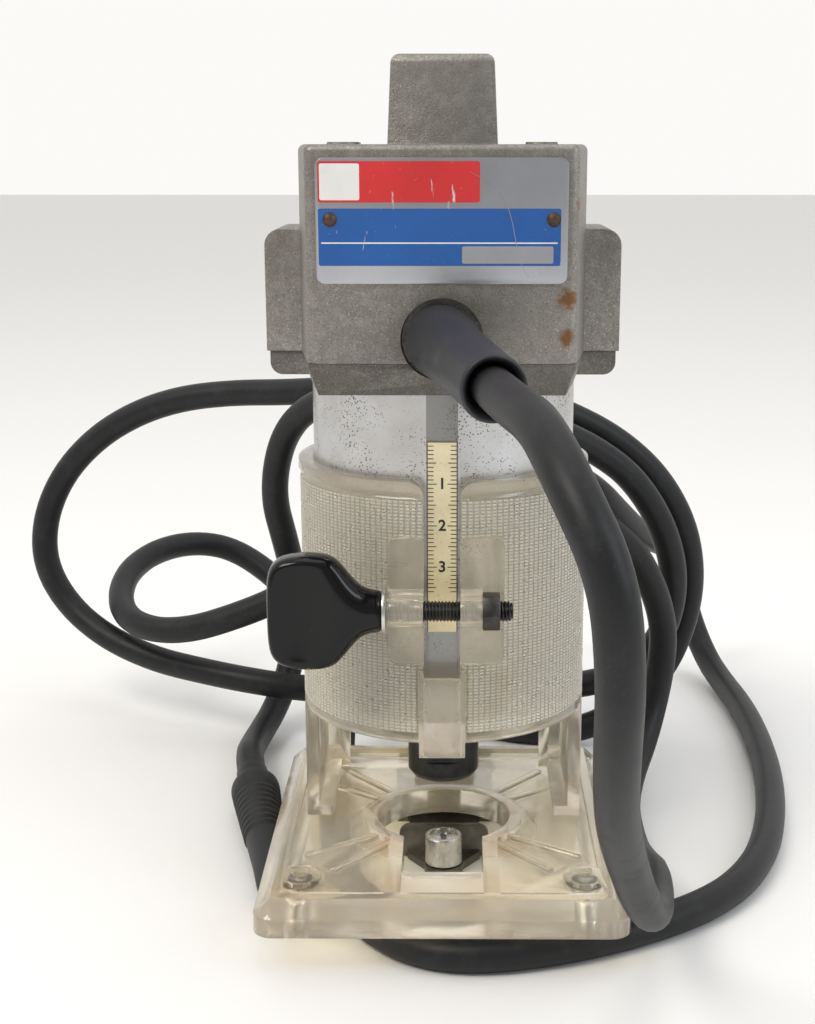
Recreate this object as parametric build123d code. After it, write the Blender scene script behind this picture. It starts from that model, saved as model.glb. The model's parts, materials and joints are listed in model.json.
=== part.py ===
from build123d import *
import os
from math import cos, sin, tan, radians, pi

# Trim router. Millimetres, +Z up. X = 0, Y = 0 is the spindle axis, the front faces -Y,
# and Z = 0 is the surface that the edge guide under the sole stands on.

# ---- driving dimensions -------------------------------------------------------------
SOLE_Z = 10.0                 # underside of the clear base
PLATE_W, PLATE_D = 90.0, 108.0
RIM_Z = SOLE_Z + 4.7          # where the vertical edge turns into the bevel
TRAY_Z = SOLE_Z + 6.8         # top of the plate inside its raised rim
PLATE_TOP = SOLE_Z + 8.3      # top of the rim and of the ribs
BEVEL = 4.0
HOLE_R = 17.7                 # opening round the cutter
SLOT_HALF, SLOT_FRONT = 10.1, -32.3
INSERTS = [(-35.0, -37.0), (35.0, -37.0), (-35.0, 45.0), (35.0, 45.0)]
INSERT_R, INSERT_BORE_R = 3.25, 1.65

COLLAR_BORE_R, COLLAR_R = 32.8, 35.8
COLLAR_Z0, COLLAR_Z1 = SOLE_Z + 42.0, SOLE_Z + 106.0
GAP_HALF = 4.3                # half width of the clamping gap in the collar
GAP_Z0 = SOLE_Z + 59.0        # lower end of the gap
EAR_Z0, EAR_Z1 = SOLE_Z + 62.7, SOLE_Z + 93.2
CLAMP_Y, CLAMP_Z = -43.0, SOLE_Z + 77.3
CLAMP_R = 2.45                # M5 thread
LEG_OUT_X, LEG_T = 36.2, 3.2
LEG_Y0, LEG_Y1 = -1.0, 36.0

MOTOR_R, MOTOR_WALL = 32.5, 2.2
MOTOR_Z0, MOTOR_Z1 = 56.0, 136.0
SHAFT_R = 4.0
BEVEL_Z1 = 142.0              # top of the bevel round the cast flange
FLANGE_Z1 = 143.5             # split line between the flange and the head
HEAD_Z1 = 191.8
HEAD_FRONT, HEAD_BACK = -36.0, 38.0
HEAD_WALL = 3.0
WING_X, WING_Y = 42.4, 12.0
WING_Z1 = 172.4
TOWER_Z1 = 212.0
TOWER_W, TOWER_Y0, TOWER_Y1 = 25.7, -16.0, 10.0
BRUSH_Z = 154.0
COMM_R = 11.0
CORD_EXIT_Z = 148.9
FIT = 0.05                    # radial clearance of shafts, pins and screws

ARM_T = 2.4                   # thickness of the guide's flat bar
ROLLER_Y = 4.0
GUIDE_SCREW_Y = 68.0
SWITCH_Z = 201.5
COLLET_R = 3.0                # bore for a 6 mm shank
COLLET_Z0, COLLET_Z1 = 31.4, 53.0

CORD_D = 8.6
BOOT_ROOT = (-0.5, HEAD_FRONT, CORD_EXIT_Z)
BOOT_TIP = (10.6, -96.0, 146.7)
BOOT_MOUTH = 5.0              # how far the cord goes into the boot's mouth
PLUG_ENTRY = (-58.2, 54.0, 7.9)
PLUG_END = (-43.5, -18.0, 4.65)

OUT = "parts"
os.makedirs(OUT, exist_ok=True)
parts = {}


# ---- helpers ------------------------------------------------------------------------
def box(x0, x1, y0, y1, z0, z1):
    return Pos((x0 + x1) / 2, (y0 + y1) / 2, (z0 + z1) / 2) * Box(x1 - x0, y1 - y0, z1 - z0)


def rod_z(r, z0, z1, x=0.0, y=0.0):
    return Pos(x, y, (z0 + z1) / 2) * Cylinder(r, z1 - z0)


def rod_x(r, x0, x1, y, z):
    return Pos((x0 + x1) / 2, y, z) * Rot(0, 90, 0) * Cylinder(r, x1 - x0)


def rod_y(r, y0, y1, x, z):
    return Pos(x, (y0 + y1) / 2, z) * Rot(90, 0, 0) * Cylinder(r, y1 - y0)


def ring_z(r_out, r_in, z0, z1, x=0.0, y=0.0):
    return rod_z(r_out, z0, z1, x, y) - rod_z(r_in, z0 - 1, z1 + 1, x, y)


def ring_x(r_out, r_in, x0, x1, y, z):
    return rod_x(r_out, x0, x1, y, z) - rod_x(r_in, x0 - 1, x1 + 1, y, z)


def block(points, z0, z1, taper=0.0):
    """Prism over a closed outline, from z0 to z1 (downwards when z1 is lower)."""
    face = make_face(Plane.XY.offset(z0) * Polyline(*points, close=True))
    return extrude(face, amount=z1 - z0, taper=taper) if z1 > z0 else \
        extrude(face, amount=z0 - z1, dir=(0, 0, -1), taper=taper)


def turned(points):
    """Solid of revolution about the spindle axis from (radius, z) corners."""
    return revolve(make_face(Plane.XZ * Polyline(*points, close=True)), Axis.Z)


def polar(shape, count, start=0.0):
    return [Rot(0, 0, start + 360.0 * i / count) * shape for i in range(count)]


# ---- clear base: plate --------------------------------------------------------------
def base_plate():
    half_w, half_d = PLATE_W / 2, PLATE_D / 2
    body = box(-half_w, half_w, -half_d, half_d, SOLE_Z, PLATE_TOP)
    body = fillet(body.edges().filter_by(Axis.Z), 5.0)
    body = chamfer(body.faces().sort_by(Axis.Z)[-1].edges(), PLATE_TOP - RIM_Z, BEVEL)
    tray = box(-half_w + 6.5, half_w - 6.5, -half_d + 7.5, half_d - 6.5, TRAY_Z, PLATE_TOP + 1)
    tray = fillet(tray.edges().filter_by(Axis.Z), 4.0)
    body -= tray
    ribs = ring_z(HOLE_R + 3.2, HOLE_R - 1, TRAY_Z - 0.5, PLATE_TOP)
    for sx in (-1, 1):
        ribs += box(min(sx * SLOT_HALF, sx * 14.0), max(sx * SLOT_HALF, sx * 14.0),
                    -half_d + 5.5, -14.0, TRAY_Z - 0.5, PLATE_TOP)
        for sy in (-1, 1):
            for bearing in (35.0, 50.0):
                spoke = box(HOLE_R + 2, HOLE_R + 24.5, -0.8, 0.8, TRAY_Z - 0.5, PLATE_TOP - 0.5)
                angle = bearing if sx * sy > 0 else -bearing
                ribs += Rot(0, 0, angle + (0 if sx > 0 else 180)) * spoke
    for x, y in INSERTS:
        ribs += rod_z(INSERT_R + 2.2, TRAY_Z - 0.5, PLATE_TOP, x, y)
    ribs &= box(-half_w + 6, half_w - 6, -half_d + 5, half_d - 6, SOLE_Z, PLATE_TOP)
    body += ribs
    body -= rod_z(HOLE_R, SOLE_Z - 1, PLATE_TOP + 1)
    slot = box(-SLOT_HALF, SLOT_HALF, SLOT_FRONT, 0, SOLE_Z - 1, PLATE_TOP + 1)
    body -= slot
    body -= rod_z(24.5, SOLE_Z - 1, SOLE_Z + 1.0)
    for x, y in INSERTS:
        body -= rod_z(INSERT_R, SOLE_Z - 1, TRAY_Z - 1.0, x, y)
        body -= rod_z(INSERT_BORE_R, SOLE_Z - 1, PLATE_TOP + 1, x, y)
    return body


def base_inserts():
    group = []
    for x, y in INSERTS:
        one = rod_z(INSERT_R, SOLE_Z + 0.6, TRAY_Z - 1.0, x, y)
        group.append(one - rod_z(INSERT_BORE_R, SOLE_Z, PLATE_TOP + 1, x, y))
    return Compound(group)


# ---- clear base: collar and legs ----------------------------------------------------
def clamp_ear(x0, x1, boss_x1):
    """Pad beside the gap, with a round boss and web for the clamp screw."""
    side = 1 if x1 > 0 else -1
    low, high = min(x0, x1), max(x0, x1)
    pad = box(low, high, -38.0, -30.0, EAR_Z0, EAR_Z1)
    pad = fillet(pad.edges().filter_by(Axis.Y).group_by(Axis.X)[-1 if side > 0 else 0], 2.5)
    boss_low, boss_high = min(x0, boss_x1), max(x0, boss_x1)
    ear = pad + rod_x(3.9, boss_low, boss_high, CLAMP_Y, CLAMP_Z)
    ear += box(boss_low, boss_high, CLAMP_Y, -34.0, CLAMP_Z - 3.9, CLAMP_Z + 3.9)
    return ear


def leg(side):
    """Flat side wall under the collar, turned inwards along its rear edge."""
    out, inn = side * LEG_OUT_X, side * (LEG_OUT_X - LEG_T)
    top = COLLAR_Z0 + 8.0
    wall = box(min(out, inn), max(out, inn), LEG_Y0, LEG_Y1, PLATE_TOP, top)
    back_x = side * 27.0
    wall += box(min(out, back_x), max(out, back_x), LEG_Y1 - LEG_T, LEG_Y1, PLATE_TOP, top)
    foot = box(min(out, side * 29.4), max(out, side * 29.4), LEG_Y0, LEG_Y1, PLATE_TOP,
               PLATE_TOP + 2.6)
    return wall + foot


def base_collar():
    body = rod_z(COLLAR_R, COLLAR_Z0, COLLAR_Z1)
    body += rod_z(COLLAR_R + 0.6, COLLAR_Z1 - 2.4, COLLAR_Z1)
    for side in (-1, 1):
        body += leg(side)
    body += box(-31, 31, 26.0, LEG_Y1, COLLAR_Z0, COLLAR_Z0 + 8.0)
    body += box(-5.5, 5.5, -38.6, -30.0, SOLE_Z + 39.4, GAP_Z0 + 1.4)
    body += clamp_ear(-GAP_HALF, -12.8, -12.8) + clamp_ear(GAP_HALF, 14.6, 9.4)
    body -= rod_z(COLLAR_BORE_R, SOLE_Z + 27.4, COLLAR_Z1 + 1)
    body -= box(-GAP_HALF, GAP_HALF, -50, -20, GAP_Z0, COLLAR_Z1 + 1)
    body -= box(-GAP_HALF, GAP_HALF, -37.0, -20, SOLE_Z + 38, GAP_Z0 + 1)
    for side in (-1, 1):
        corner = box(min(0, side * 7.8), max(0, side * 7.8), -50, -20, COLLAR_Z1 - 3.5, COLLAR_Z1 + 1)
        body -= corner - rod_y(3.5, -51, -19, side * 7.8, COLLAR_Z1 - 3.5)
        body -= rod_x(2.55, min(0, side * 20), max(0, side * 20), CLAMP_Y, CLAMP_Z)
    return body


# ---- collar clamp -------------------------------------------------------------------
def clamp_screw():
    screw = rod_x(CLAMP_R, -21.1, 16.4, CLAMP_Y, CLAMP_Z)
    return chamfer(screw.edges().group_by(Axis.X)[-1], 0.6)


def clamp_knob():
    """Dished wing with a flared neck, moulded round the head end of the clamp screw."""
    def section(x, half_y, half_z):
        return Plane.YZ.offset(x) * Pos(CLAMP_Y, CLAMP_Z) * Ellipse(half_y, half_z)
    neck = loft([section(-13.8, 4.85, 4.85), section(-17.1, 5.2, 5.6), section(-21.1, 5.6, 9.4),
                 section(-25.6, 5.2, 12.9)])
    wing = box(-40.2, -23.7, CLAMP_Y - 5.2, CLAMP_Y + 5.2, CLAMP_Z - 13.7, CLAMP_Z + 13.7)
    wing = fillet(wing.edges().filter_by(Axis.Y), 4.6)
    wing = fillet(wing.faces().sort_by(Axis.X)[0].edges(), 1.6)
    knob = neck + wing
    for sy in (-1, 1):
        dish = Pos(-33.3, CLAMP_Y + sy * 64.2, CLAMP_Z) * Sphere(60.0)
        knob -= dish
    return knob - rod_x(CLAMP_R, -21.1, -10, CLAMP_Y, CLAMP_Z)


def clamp_washer():
    return ring_x(5.6, CLAMP_R + FIT, -13.7, -12.85, CLAMP_Y, CLAMP_Z)


def clamp_nut():
    hexagon = Plane.YZ.offset(9.45) * Pos(CLAMP_Y, CLAMP_Z) * RegularPolygon(8.0 / 3 ** 0.5, 6)
    return extrude(hexagon, 4.0) - rod_x(CLAMP_R + FIT, 5, 20, CLAMP_Y, CLAMP_Z)


# ---- edge guide under the sole ------------------------------------------------------
def guide_holder():
    web_y0, web_y1 = PLATE_D / 2 + 0.05, PLATE_D / 2 + 4.0
    body = box(-8.5, 8.5, web_y0, web_y1, 3.4, PLATE_TOP + 3.2)
    body += box(-8.5, 8.5, 42.0, web_y1, PLATE_TOP + 0.05, PLATE_TOP + 3.2)
    body += box(-14, 14, 36.0, web_y1, 3.4, SOLE_Z - 0.05)
    body += box(-10, 10, web_y0, 74.0, 3.4, SOLE_Z - 0.6)
    for sx in (-1, 1):
        rail = box(min(sx * 10.4, sx * 14), max(sx * 10.4, sx * 14), 36.0, web_y1, 0.4, 4.0)
        body += rail
    return body - rod_z(2.0 + FIT, 0, 30, 0, GUIDE_SCREW_Y)


def guide_arm():
    """Flat bar with a tapered tip for the roller and an upturned, arched web behind it."""
    tip = [(-5.2, 4.0), (-10.0, 11.0), (-10.0, 78.0), (10.0, 78.0), (10.0, 11.0), (5.2, 4.0)]
    bar = block(tip, 0, ARM_T) + rod_z(5.2, 0, ARM_T, 0, ROLLER_Y)
    web = box(-12.3, 12.3, 12.0, 14.4, 0.6, 9.4)
    web = fillet(web.edges().filter_by(Axis.Y).group_by(Axis.Z)[-1], 3.0)
    bar += web
    return bar - rod_z(1.6, -1, ARM_T + 1, 0, ROLLER_Y)


def guide_rivet():
    head = Pos(0, 12.6, 6.4) * Sphere(2.1)
    return head & box(-4, 4, 8, 11.99, 2, 9)


def roller_pin():
    pin = rod_z(1.55, 0.3, ARM_T + 0.1, 0, ROLLER_Y) + rod_z(3.75, ARM_T + 0.1, 10.2, 0, ROLLER_Y)
    pin += rod_z(3.75, ARM_T, ARM_T + 0.2, 0, ROLLER_Y)
    return pin - box(-0.8, 0.8, ROLLER_Y - 5, ROLLER_Y + 5, 8.8, 11)


def guide_roller():
    roller = ring_z(5.0, 3.75 + FIT, ARM_T + 0.3, 10.6, 0, ROLLER_Y)
    return chamfer(roller.edges().filter_by(GeomType.CIRCLE).sort_by(SortBy.RADIUS)[-2:], 0.3)


def guide_thumb_screw():
    y = GUIDE_SCREW_Y
    screw = rod_z(2.0, ARM_T + 0.1, 14.0, 0, y)
    screw += rod_z(4.0, 10.0, 12.5, 0, y) + rod_z(8.0, 12.5, 21.0, 0, y)
    for notch in polar(rod_z(0.9, 12, 22, 8.3, 0), 18):
        screw -= Pos(0, y, 0) * notch
    return screw


# ---- motor --------------------------------------------------------------------------
def motor_housing():
    inner = MOTOR_R - MOTOR_WALL
    body = turned([(0, 47.0), (14.5, 47.0), (14.5, MOTOR_Z0), (MOTOR_R - 1.0, MOTOR_Z0),
                   (MOTOR_R, MOTOR_Z0 + 1.0), (MOTOR_R, MOTOR_Z1), (inner, MOTOR_Z1),
                   (inner, MOTOR_Z0 + 4.0), (0, MOTOR_Z0 + 4.0)])
    body -= rod_z(11.0, 49.0, 56.0) + rod_z(9.0, 55.0, 70.0) + rod_z(7.5, 40.0, 50.0)
    vent = box(17.0, 28.5, -3.2, 3.2, MOTOR_Z0 - 1, MOTOR_Z0 + 5)
    vent = fillet(vent.edges().filter_by(Axis.Z), 2.0)
    for one in polar(vent, 8, 22.5):
        body -= one
    return body - box(-3.6, 3.6, -40, -31.9, MOTOR_Z0 - 1, 126.0)


def scale_strip():
    return box(-3.5, 3.5, -32.35, -31.9, 79.0, 125.0)


def stator_core():
    core = ring_z(MOTOR_R - MOTOR_WALL, 27.5, 78, 108)
    for sy in (-1, 1):
        pole = rod_z(28.0, 78, 108) & box(-13, 13, min(0, sy * 28), max(0, sy * 28), 78, 108)
        core += pole
        for sx in (-1, 1):
            horn = (rod_z(21.5, 78, 108) - rod_z(18.0, 77, 109)) & \
                box(min(0, sx * 18.5), max(0, sx * 18.5), min(sy * 7, sy * 28), max(sy * 7, sy * 28), 78, 108)
            core += horn
    return core - rod_z(18.0, 77, 109)


def field_coils():
    group = []
    for sy in (-1, 1):
        outer = box(-16.5, 16.5, min(sy * 19.4, sy * 21.8), max(sy * 19.4, sy * 21.8), 72, 114)
        outer = fillet(outer.edges().filter_by(Axis.Y), 3.0)
        group.append(outer - box(-13.1, 13.1, -40, 40, 77.9, 108.1))
    return Compound(group)


def motor_shaft():
    shaft = turned([(0, 33.0), (3.2, 33.0), (5.4, 39.0), (5.4, 46.0), (SHAFT_R, 46.5),
                    (SHAFT_R, 173.8), (3.0, 174.0), (3.0, 181.0), (0, 181.0)])
    return shaft - rod_z(COLLET_R, COLLET_Z0, COLLET_Z1)


def armature_core():
    core = ring_z(17.0, SHAFT_R, 78, 108)
    for slot in polar(rod_z(1.6, 77, 109, 14.4, 0) + box(14, 18, -0.8, 0.8, 77, 109), 12):
        core -= slot
    return core


def armature_windings():
    group = [ring_z(14.5, SHAFT_R + 0.3, 71, 77.9), ring_z(14.5, SHAFT_R + 0.3, 108.1, 115)]
    return Compound([fillet(g.edges().filter_by(GeomType.CIRCLE).sort_by(SortBy.RADIUS)[-2:], 2.0)
                     for g in group])


def commutator():
    body = ring_z(COMM_R, SHAFT_R, 144.0, 162.0) + ring_z(COMM_R + 1.2, SHAFT_R, 144.0, 146.0)
    for slot in polar(box(COMM_R - 0.7, COMM_R + 2, -0.25, 0.25, 143, 163), 24):
        body -= slot
    return body


def cooling_fan():
    fan = ring_z(28.0, SHAFT_R, 69.0, 70.2) + ring_z(8.0, SHAFT_R, 62.0, 70.2)
    blade = Rot(0, 0, 12) * box(9.0, 27.0, -0.7, 0.7, 62.0, 69.5)
    for one in polar(blade, 11):
        fan += one
    return fan


def ball_bearing(r_out, r_in, z0, z1):
    """Outer race, inner race, balls and the cage that joins them, as one solid."""
    body = ring_z(r_out, r_in, z0, z1)
    r_mid = (r_out + r_in) / 2
    for z in (z0, z1):
        body -= ring_z(r_mid + 1.3, r_mid - 1.3, z - 0.8, z + 0.8)
    return body


def bearing_retainer():
    return ring_z(10.9, 7.5, 46.0, 46.95) + ring_z(13.5, 7.5, 46.0, 46.95)


def collet_cone():
    cone = ring_z(6.3, COLLET_R, COLLET_Z0, COLLET_Z0 + 1.5)
    for slit in polar(box(2.0, 8.0, -0.35, 0.35, 30, 32.4), 4):
        cone -= slit
    return cone


def collet_nut():
    nut = turned([(4.2, 30.8), (8.2, 30.8), (9.25, 32.2), (9.25, 45.0), (8.6, 45.6), (5.45, 45.6),
                  (5.45, 39.2), (6.6, 38.2), (6.6, 31.3), (4.2, 31.3)])
    for sy in (-1, 1):
        nut -= box(-12, 12, min(sy * 8.3, sy * 12), max(sy * 8.3, sy * 12), 36.0, 43.0)
    return nut


# ---- head ---------------------------------------------------------------------------
HEAD_OUTLINE = [(-30.3, HEAD_FRONT), (30.3, HEAD_FRONT), (33.6, -15.0), (33.6, 22.0),
                (27.0, HEAD_BACK), (-27.0, HEAD_BACK), (-33.6, 22.0), (-33.6, -15.0)]
COVER_SCREWS = [(22.3, -27.5), (-22.3, -27.5), (25.0, 26.0), (-25.0, 26.0)]


def inset(outline, amount):
    """The outline pulled in towards the axis by about the same amount on every side."""
    return [(x - amount * (1 if x > 0 else -1), y - amount * (1 if y > 0 else -1)) for x, y in outline]


def head_flange():
    """Cast bracket between the motor tube and the head, bevelled below, with brush wings."""
    body = block(HEAD_OUTLINE, FLANGE_Z1, BEVEL_Z1)
    body += block(inset(HEAD_OUTLINE, 0.2), BEVEL_Z1, MOTOR_Z1, taper=20)
    for side in (-1, 1):
        wing = box(min(side * 30, side * 41.7), max(side * 30, side * 41.7), -WING_Y + 0.7,
                   WING_Y - 0.7, MOTOR_Z1 + 1.7, FLANGE_Z1)
        body += fillet([e for e in wing.edges().filter_by(Axis.Y) if abs(e.center().X) > 40
                        and e.center().Z < 140], 3.0)
    body -= rod_z(26.0, MOTOR_Z1 - 1, FLANGE_Z1 + 1)
    body -= rod_y(9.25, HEAD_FRONT - 1, HEAD_FRONT + 2.5, 0, CORD_EXIT_Z)
    body -= rod_y(8.8, HEAD_FRONT, -24.0, 0, CORD_EXIT_Z)
    for x, y in COVER_SCREWS:
        body -= rod_z(1.5, 138.0, FLANGE_Z1 + 1, x, y)
    return body


def head_cover():
    """Cast head: box with flared sides, brush wings, cord recess and the switch tower."""
    body = block(HEAD_OUTLINE, FLANGE_Z1, HEAD_Z1)
    body = fillet(body.edges().filter_by(Axis.Z), 2.0)
    body = fillet(body.faces().sort_by(Axis.Z)[-1].edges(), 1.6)
    for side in (-1, 1):
        wing = box(min(side * 30, side * WING_X), max(side * 30, side * WING_X), -WING_Y, WING_Y,
                   FLANGE_Z1, WING_Z1)
        wing = fillet([e for e in wing.edges().filter_by(Axis.Y) if abs(e.center().X) > 40
                       and e.center().Z > 160], 4.0)
        body += wing
    tower_outline = [(-TOWER_W / 2, TOWER_Y0), (TOWER_W / 2, TOWER_Y0), (TOWER_W / 2, TOWER_Y1),
                     (-TOWER_W / 2, TOWER_Y1)]
    tower = block(tower_outline, HEAD_Z1 - 1.0, TOWER_Z1, taper=2.6)
    tower = fillet(tower.edges().group_by(Axis.Z)[-1], 2.2)
    body += tower
    for x, y in COVER_SCREWS:
        body += rod_z(3.6, FLANGE_Z1, HEAD_Z1 + 0.5, x, y)
    cavity = block(inset(HEAD_OUTLINE, HEAD_WALL), FLANGE_Z1 - 1, HEAD_Z1 - 4.0)
    posts = rod_z(12.2, 172.0, HEAD_Z1)
    for x, y in COVER_SCREWS:
        posts += rod_z(4.4, FLANGE_Z1, HEAD_Z1, x, y)
    posts += rod_y(12.5, HEAD_FRONT, -29.0, 0, CORD_EXIT_Z)
    for side in (-1, 1):
        posts += rod_x(8.0, min(side * 26, side * 40), max(side * 26, side * 40), 0, BRUSH_Z)
    posts &= box(-34, 34, HEAD_FRONT + 1, HEAD_BACK - 1, FLANGE_Z1, HEAD_Z1)
    body -= cavity - posts
    body -= box(-10.5, 10.5, TOWER_Y0 + 3.0, TOWER_Y1 - 3.0, HEAD_Z1 - 1.0, TOWER_Z1 - 3.0)
    body -= rod_z(9.5, 174.0, 181.2) + rod_z(6.0, 171.0, 175.0)
    body -= rod_y(9.25, HEAD_FRONT - 1, HEAD_FRONT + 2.5, 0, CORD_EXIT_Z)
    body -= rod_y(6.6, HEAD_FRONT, -28.0, 0, CORD_EXIT_Z)
    body -= rod_y(3.2, TOWER_Y1 - 4, TOWER_Y1 + 1, 0, SWITCH_Z)
    for side in (-1, 1):
        body -= rod_x(6.5, min(side * 20, side * 45), max(side * 20, side * 45), 0, BRUSH_Z)
    for x, y in COVER_SCREWS:
        body -= rod_z(1.9, FLANGE_Z1 - 1, HEAD_Z1 + 3, x, y) + rod_z(3.0, HEAD_Z1 - 3.0, HEAD_Z1 + 3, x, y)
    for i in range(4):
        body -= box(-18, 18, HEAD_BACK - 5, HEAD_BACK + 1, 150.0 + 8.0 * i, 153.0 + 8.0 * i)
    return body


def cover_screws():
    group = []
    for x, y in COVER_SCREWS:
        screw = rod_z(1.45, 138.5, HEAD_Z1 - 3.0, x, y)
        head = rod_z(2.9, HEAD_Z1 - 3.0, HEAD_Z1 - 0.6, x, y)
        head -= box(x - 2.0, x + 2.0, y - 0.4, y + 0.4, HEAD_Z1 - 1.6, HEAD_Z1)
        head -= box(x - 0.4, x + 0.4, y - 2.0, y + 2.0, HEAD_Z1 - 1.6, HEAD_Z1)
        group.append(screw + head)
    return Compound(group)


def nameplate():
    plate = box(-28, 28, HEAD_FRONT - 0.6, HEAD_FRONT, 161.5, 189.0)
    return fillet(plate.edges().filter_by(Axis.Y), 2.0)


def nameplate_rivets():
    group = []
    for x in (-24.8, 24.8):
        head = Pos(x, HEAD_FRONT + 0.4, 175.6) * Sphere(1.9)
        group.append(head & box(x - 3, x + 3, HEAD_FRONT - 2, HEAD_FRONT - 0.6, 170, 180))
    return Compound(group)


# ---- brushes ------------------------------------------------------------------------
def brush_holders():
    group = []
    for side in (-1, 1):
        tube = rod_x(6.45, min(side * 14.0, side * 38.6), max(side * 14.0, side * 38.6), 0, BRUSH_Z)
        tube -= box(min(side * 10, side * 33.5), max(side * 10, side * 33.5), -2.6, 2.6,
                    BRUSH_Z - 4.1, BRUSH_Z + 4.1)
        group.append(tube - rod_x(3.4, min(side * 33, side * 41), max(side * 33, side * 41), 0, BRUSH_Z))
    return Compound(group)


def carbon_brush(side):
    brush = box(min(side * 9.0, side * 23.0), max(side * 9.0, side * 23.0), -2.5, 2.5,
                BRUSH_Z - 4.0, BRUSH_Z + 4.0)
    return brush - rod_z(COMM_R + 0.3, BRUSH_Z - 6, BRUSH_Z + 6)


def brush_spring(side):
    wire = Helix(pitch=2.2, height=10.2, radius=1.8)
    profile = Plane(origin=wire @ 0, z_dir=wire % 0) * Circle(0.3)
    coil = sweep(profile, path=wire, is_frenet=True)
    return Pos(side * 23.4, 0, BRUSH_Z) * Rot(0, side * 90, 0) * coil


def brush_caps():
    group = []
    for side in (-1, 1):
        cap = rod_x(6.4, min(side * 38.7, side * 41.9), max(side * 38.7, side * 41.9), 0, BRUSH_Z)
        cap -= box(min(side * 40.7, side * 45), max(side * 40.7, side * 45), -5, 5,
                   BRUSH_Z - 0.8, BRUSH_Z + 0.8)
        group.append(cap + rod_x(3.3, min(side * 34.2, side * 38.8), max(side * 34.2, side * 38.8), 0, BRUSH_Z))
    return Compound(group)


# ---- switch and wiring --------------------------------------------------------------
def switch_body():
    return box(-8.5, 8.5, -9.0, 4.4, 195.0, 208.0) + box(-5, 5, 4.3, 6.95, 197.0, 206.0) \
        - rod_y(2.6, 0.0, 8.0, 0, SWITCH_Z) - Pos(0, 3.5, SWITCH_Z) * Sphere(3.3)


def switch_bushing():
    bush = rod_y(3.15, 6.98, 14.5, 0, SWITCH_Z)
    nut = Plane.XZ.offset(-TOWER_Y1 - 0.35) * Pos(0, SWITCH_Z) * RegularPolygon(5.4, 6)
    bush += extrude(nut, -2.2)
    bore = Pos(0, 10.7, SWITCH_Z) * Rot(-90, 0, 0) * Cone(2.1, 2.8, 7.8)
    return bush - bore


def switch_lever():
    lever = Pos(0, 3.5, SWITCH_Z) * Sphere(2.5)
    shaft = Pos(0, 3.5, SWITCH_Z) * Rot(-90, 0, 0) * Pos(0, 0, 8.75) * Cone(1.0, 1.35, 17.5)
    knob = Pos(0, 21.0, SWITCH_Z) * Sphere(2.1)
    return Pos(0, 3.5, SWITCH_Z) * Rot(-6.0, 0, 0) * Pos(0, -3.5, -SWITCH_Z) * (lever + shaft + knob)


def terminal_block():
    block_body = box(-15, 15, 22.0, 30.0, 176.0, 184.0)
    for x in (-10, 0, 10):
        block_body -= rod_z(2.2, 181.0, 185.0, x, 26.0)
    return block_body + box(-3, 3, 28.0, 34.95, 178.0, 182.0)


# ---- cord ---------------------------------------------------------------------------
def boot_frame():
    """Frame at the recess, with its Z along the boot towards the mouth."""
    origin = Vector(*BOOT_ROOT)
    return Plane(origin=origin, z_dir=Vector(*BOOT_TIP) - origin, x_dir=(0, 0, 1))


def cord_boot():
    frame = boot_frame()
    length = (Vector(*BOOT_TIP) - frame.origin).length
    profile = Polyline((0, -0.2), (8.1, -0.2), (8.2, 6.0), (7.0, 26.0), (6.9, length - 4.0),
                       (7.1, length - 1.2), (6.7, length), (5.0, length),
                       (5.0, length - BOOT_MOUTH), (0, length - BOOT_MOUTH), close=True)
    sleeve = frame * revolve(make_face(Plane.XZ * profile), Axis.Z)
    neck = rod_y(6.5, HEAD_FRONT, -28.9, 0, CORD_EXIT_Z) + rod_y(8.5, -28.9, -26.5, 0, CORD_EXIT_Z)
    return sleeve + neck


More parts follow.
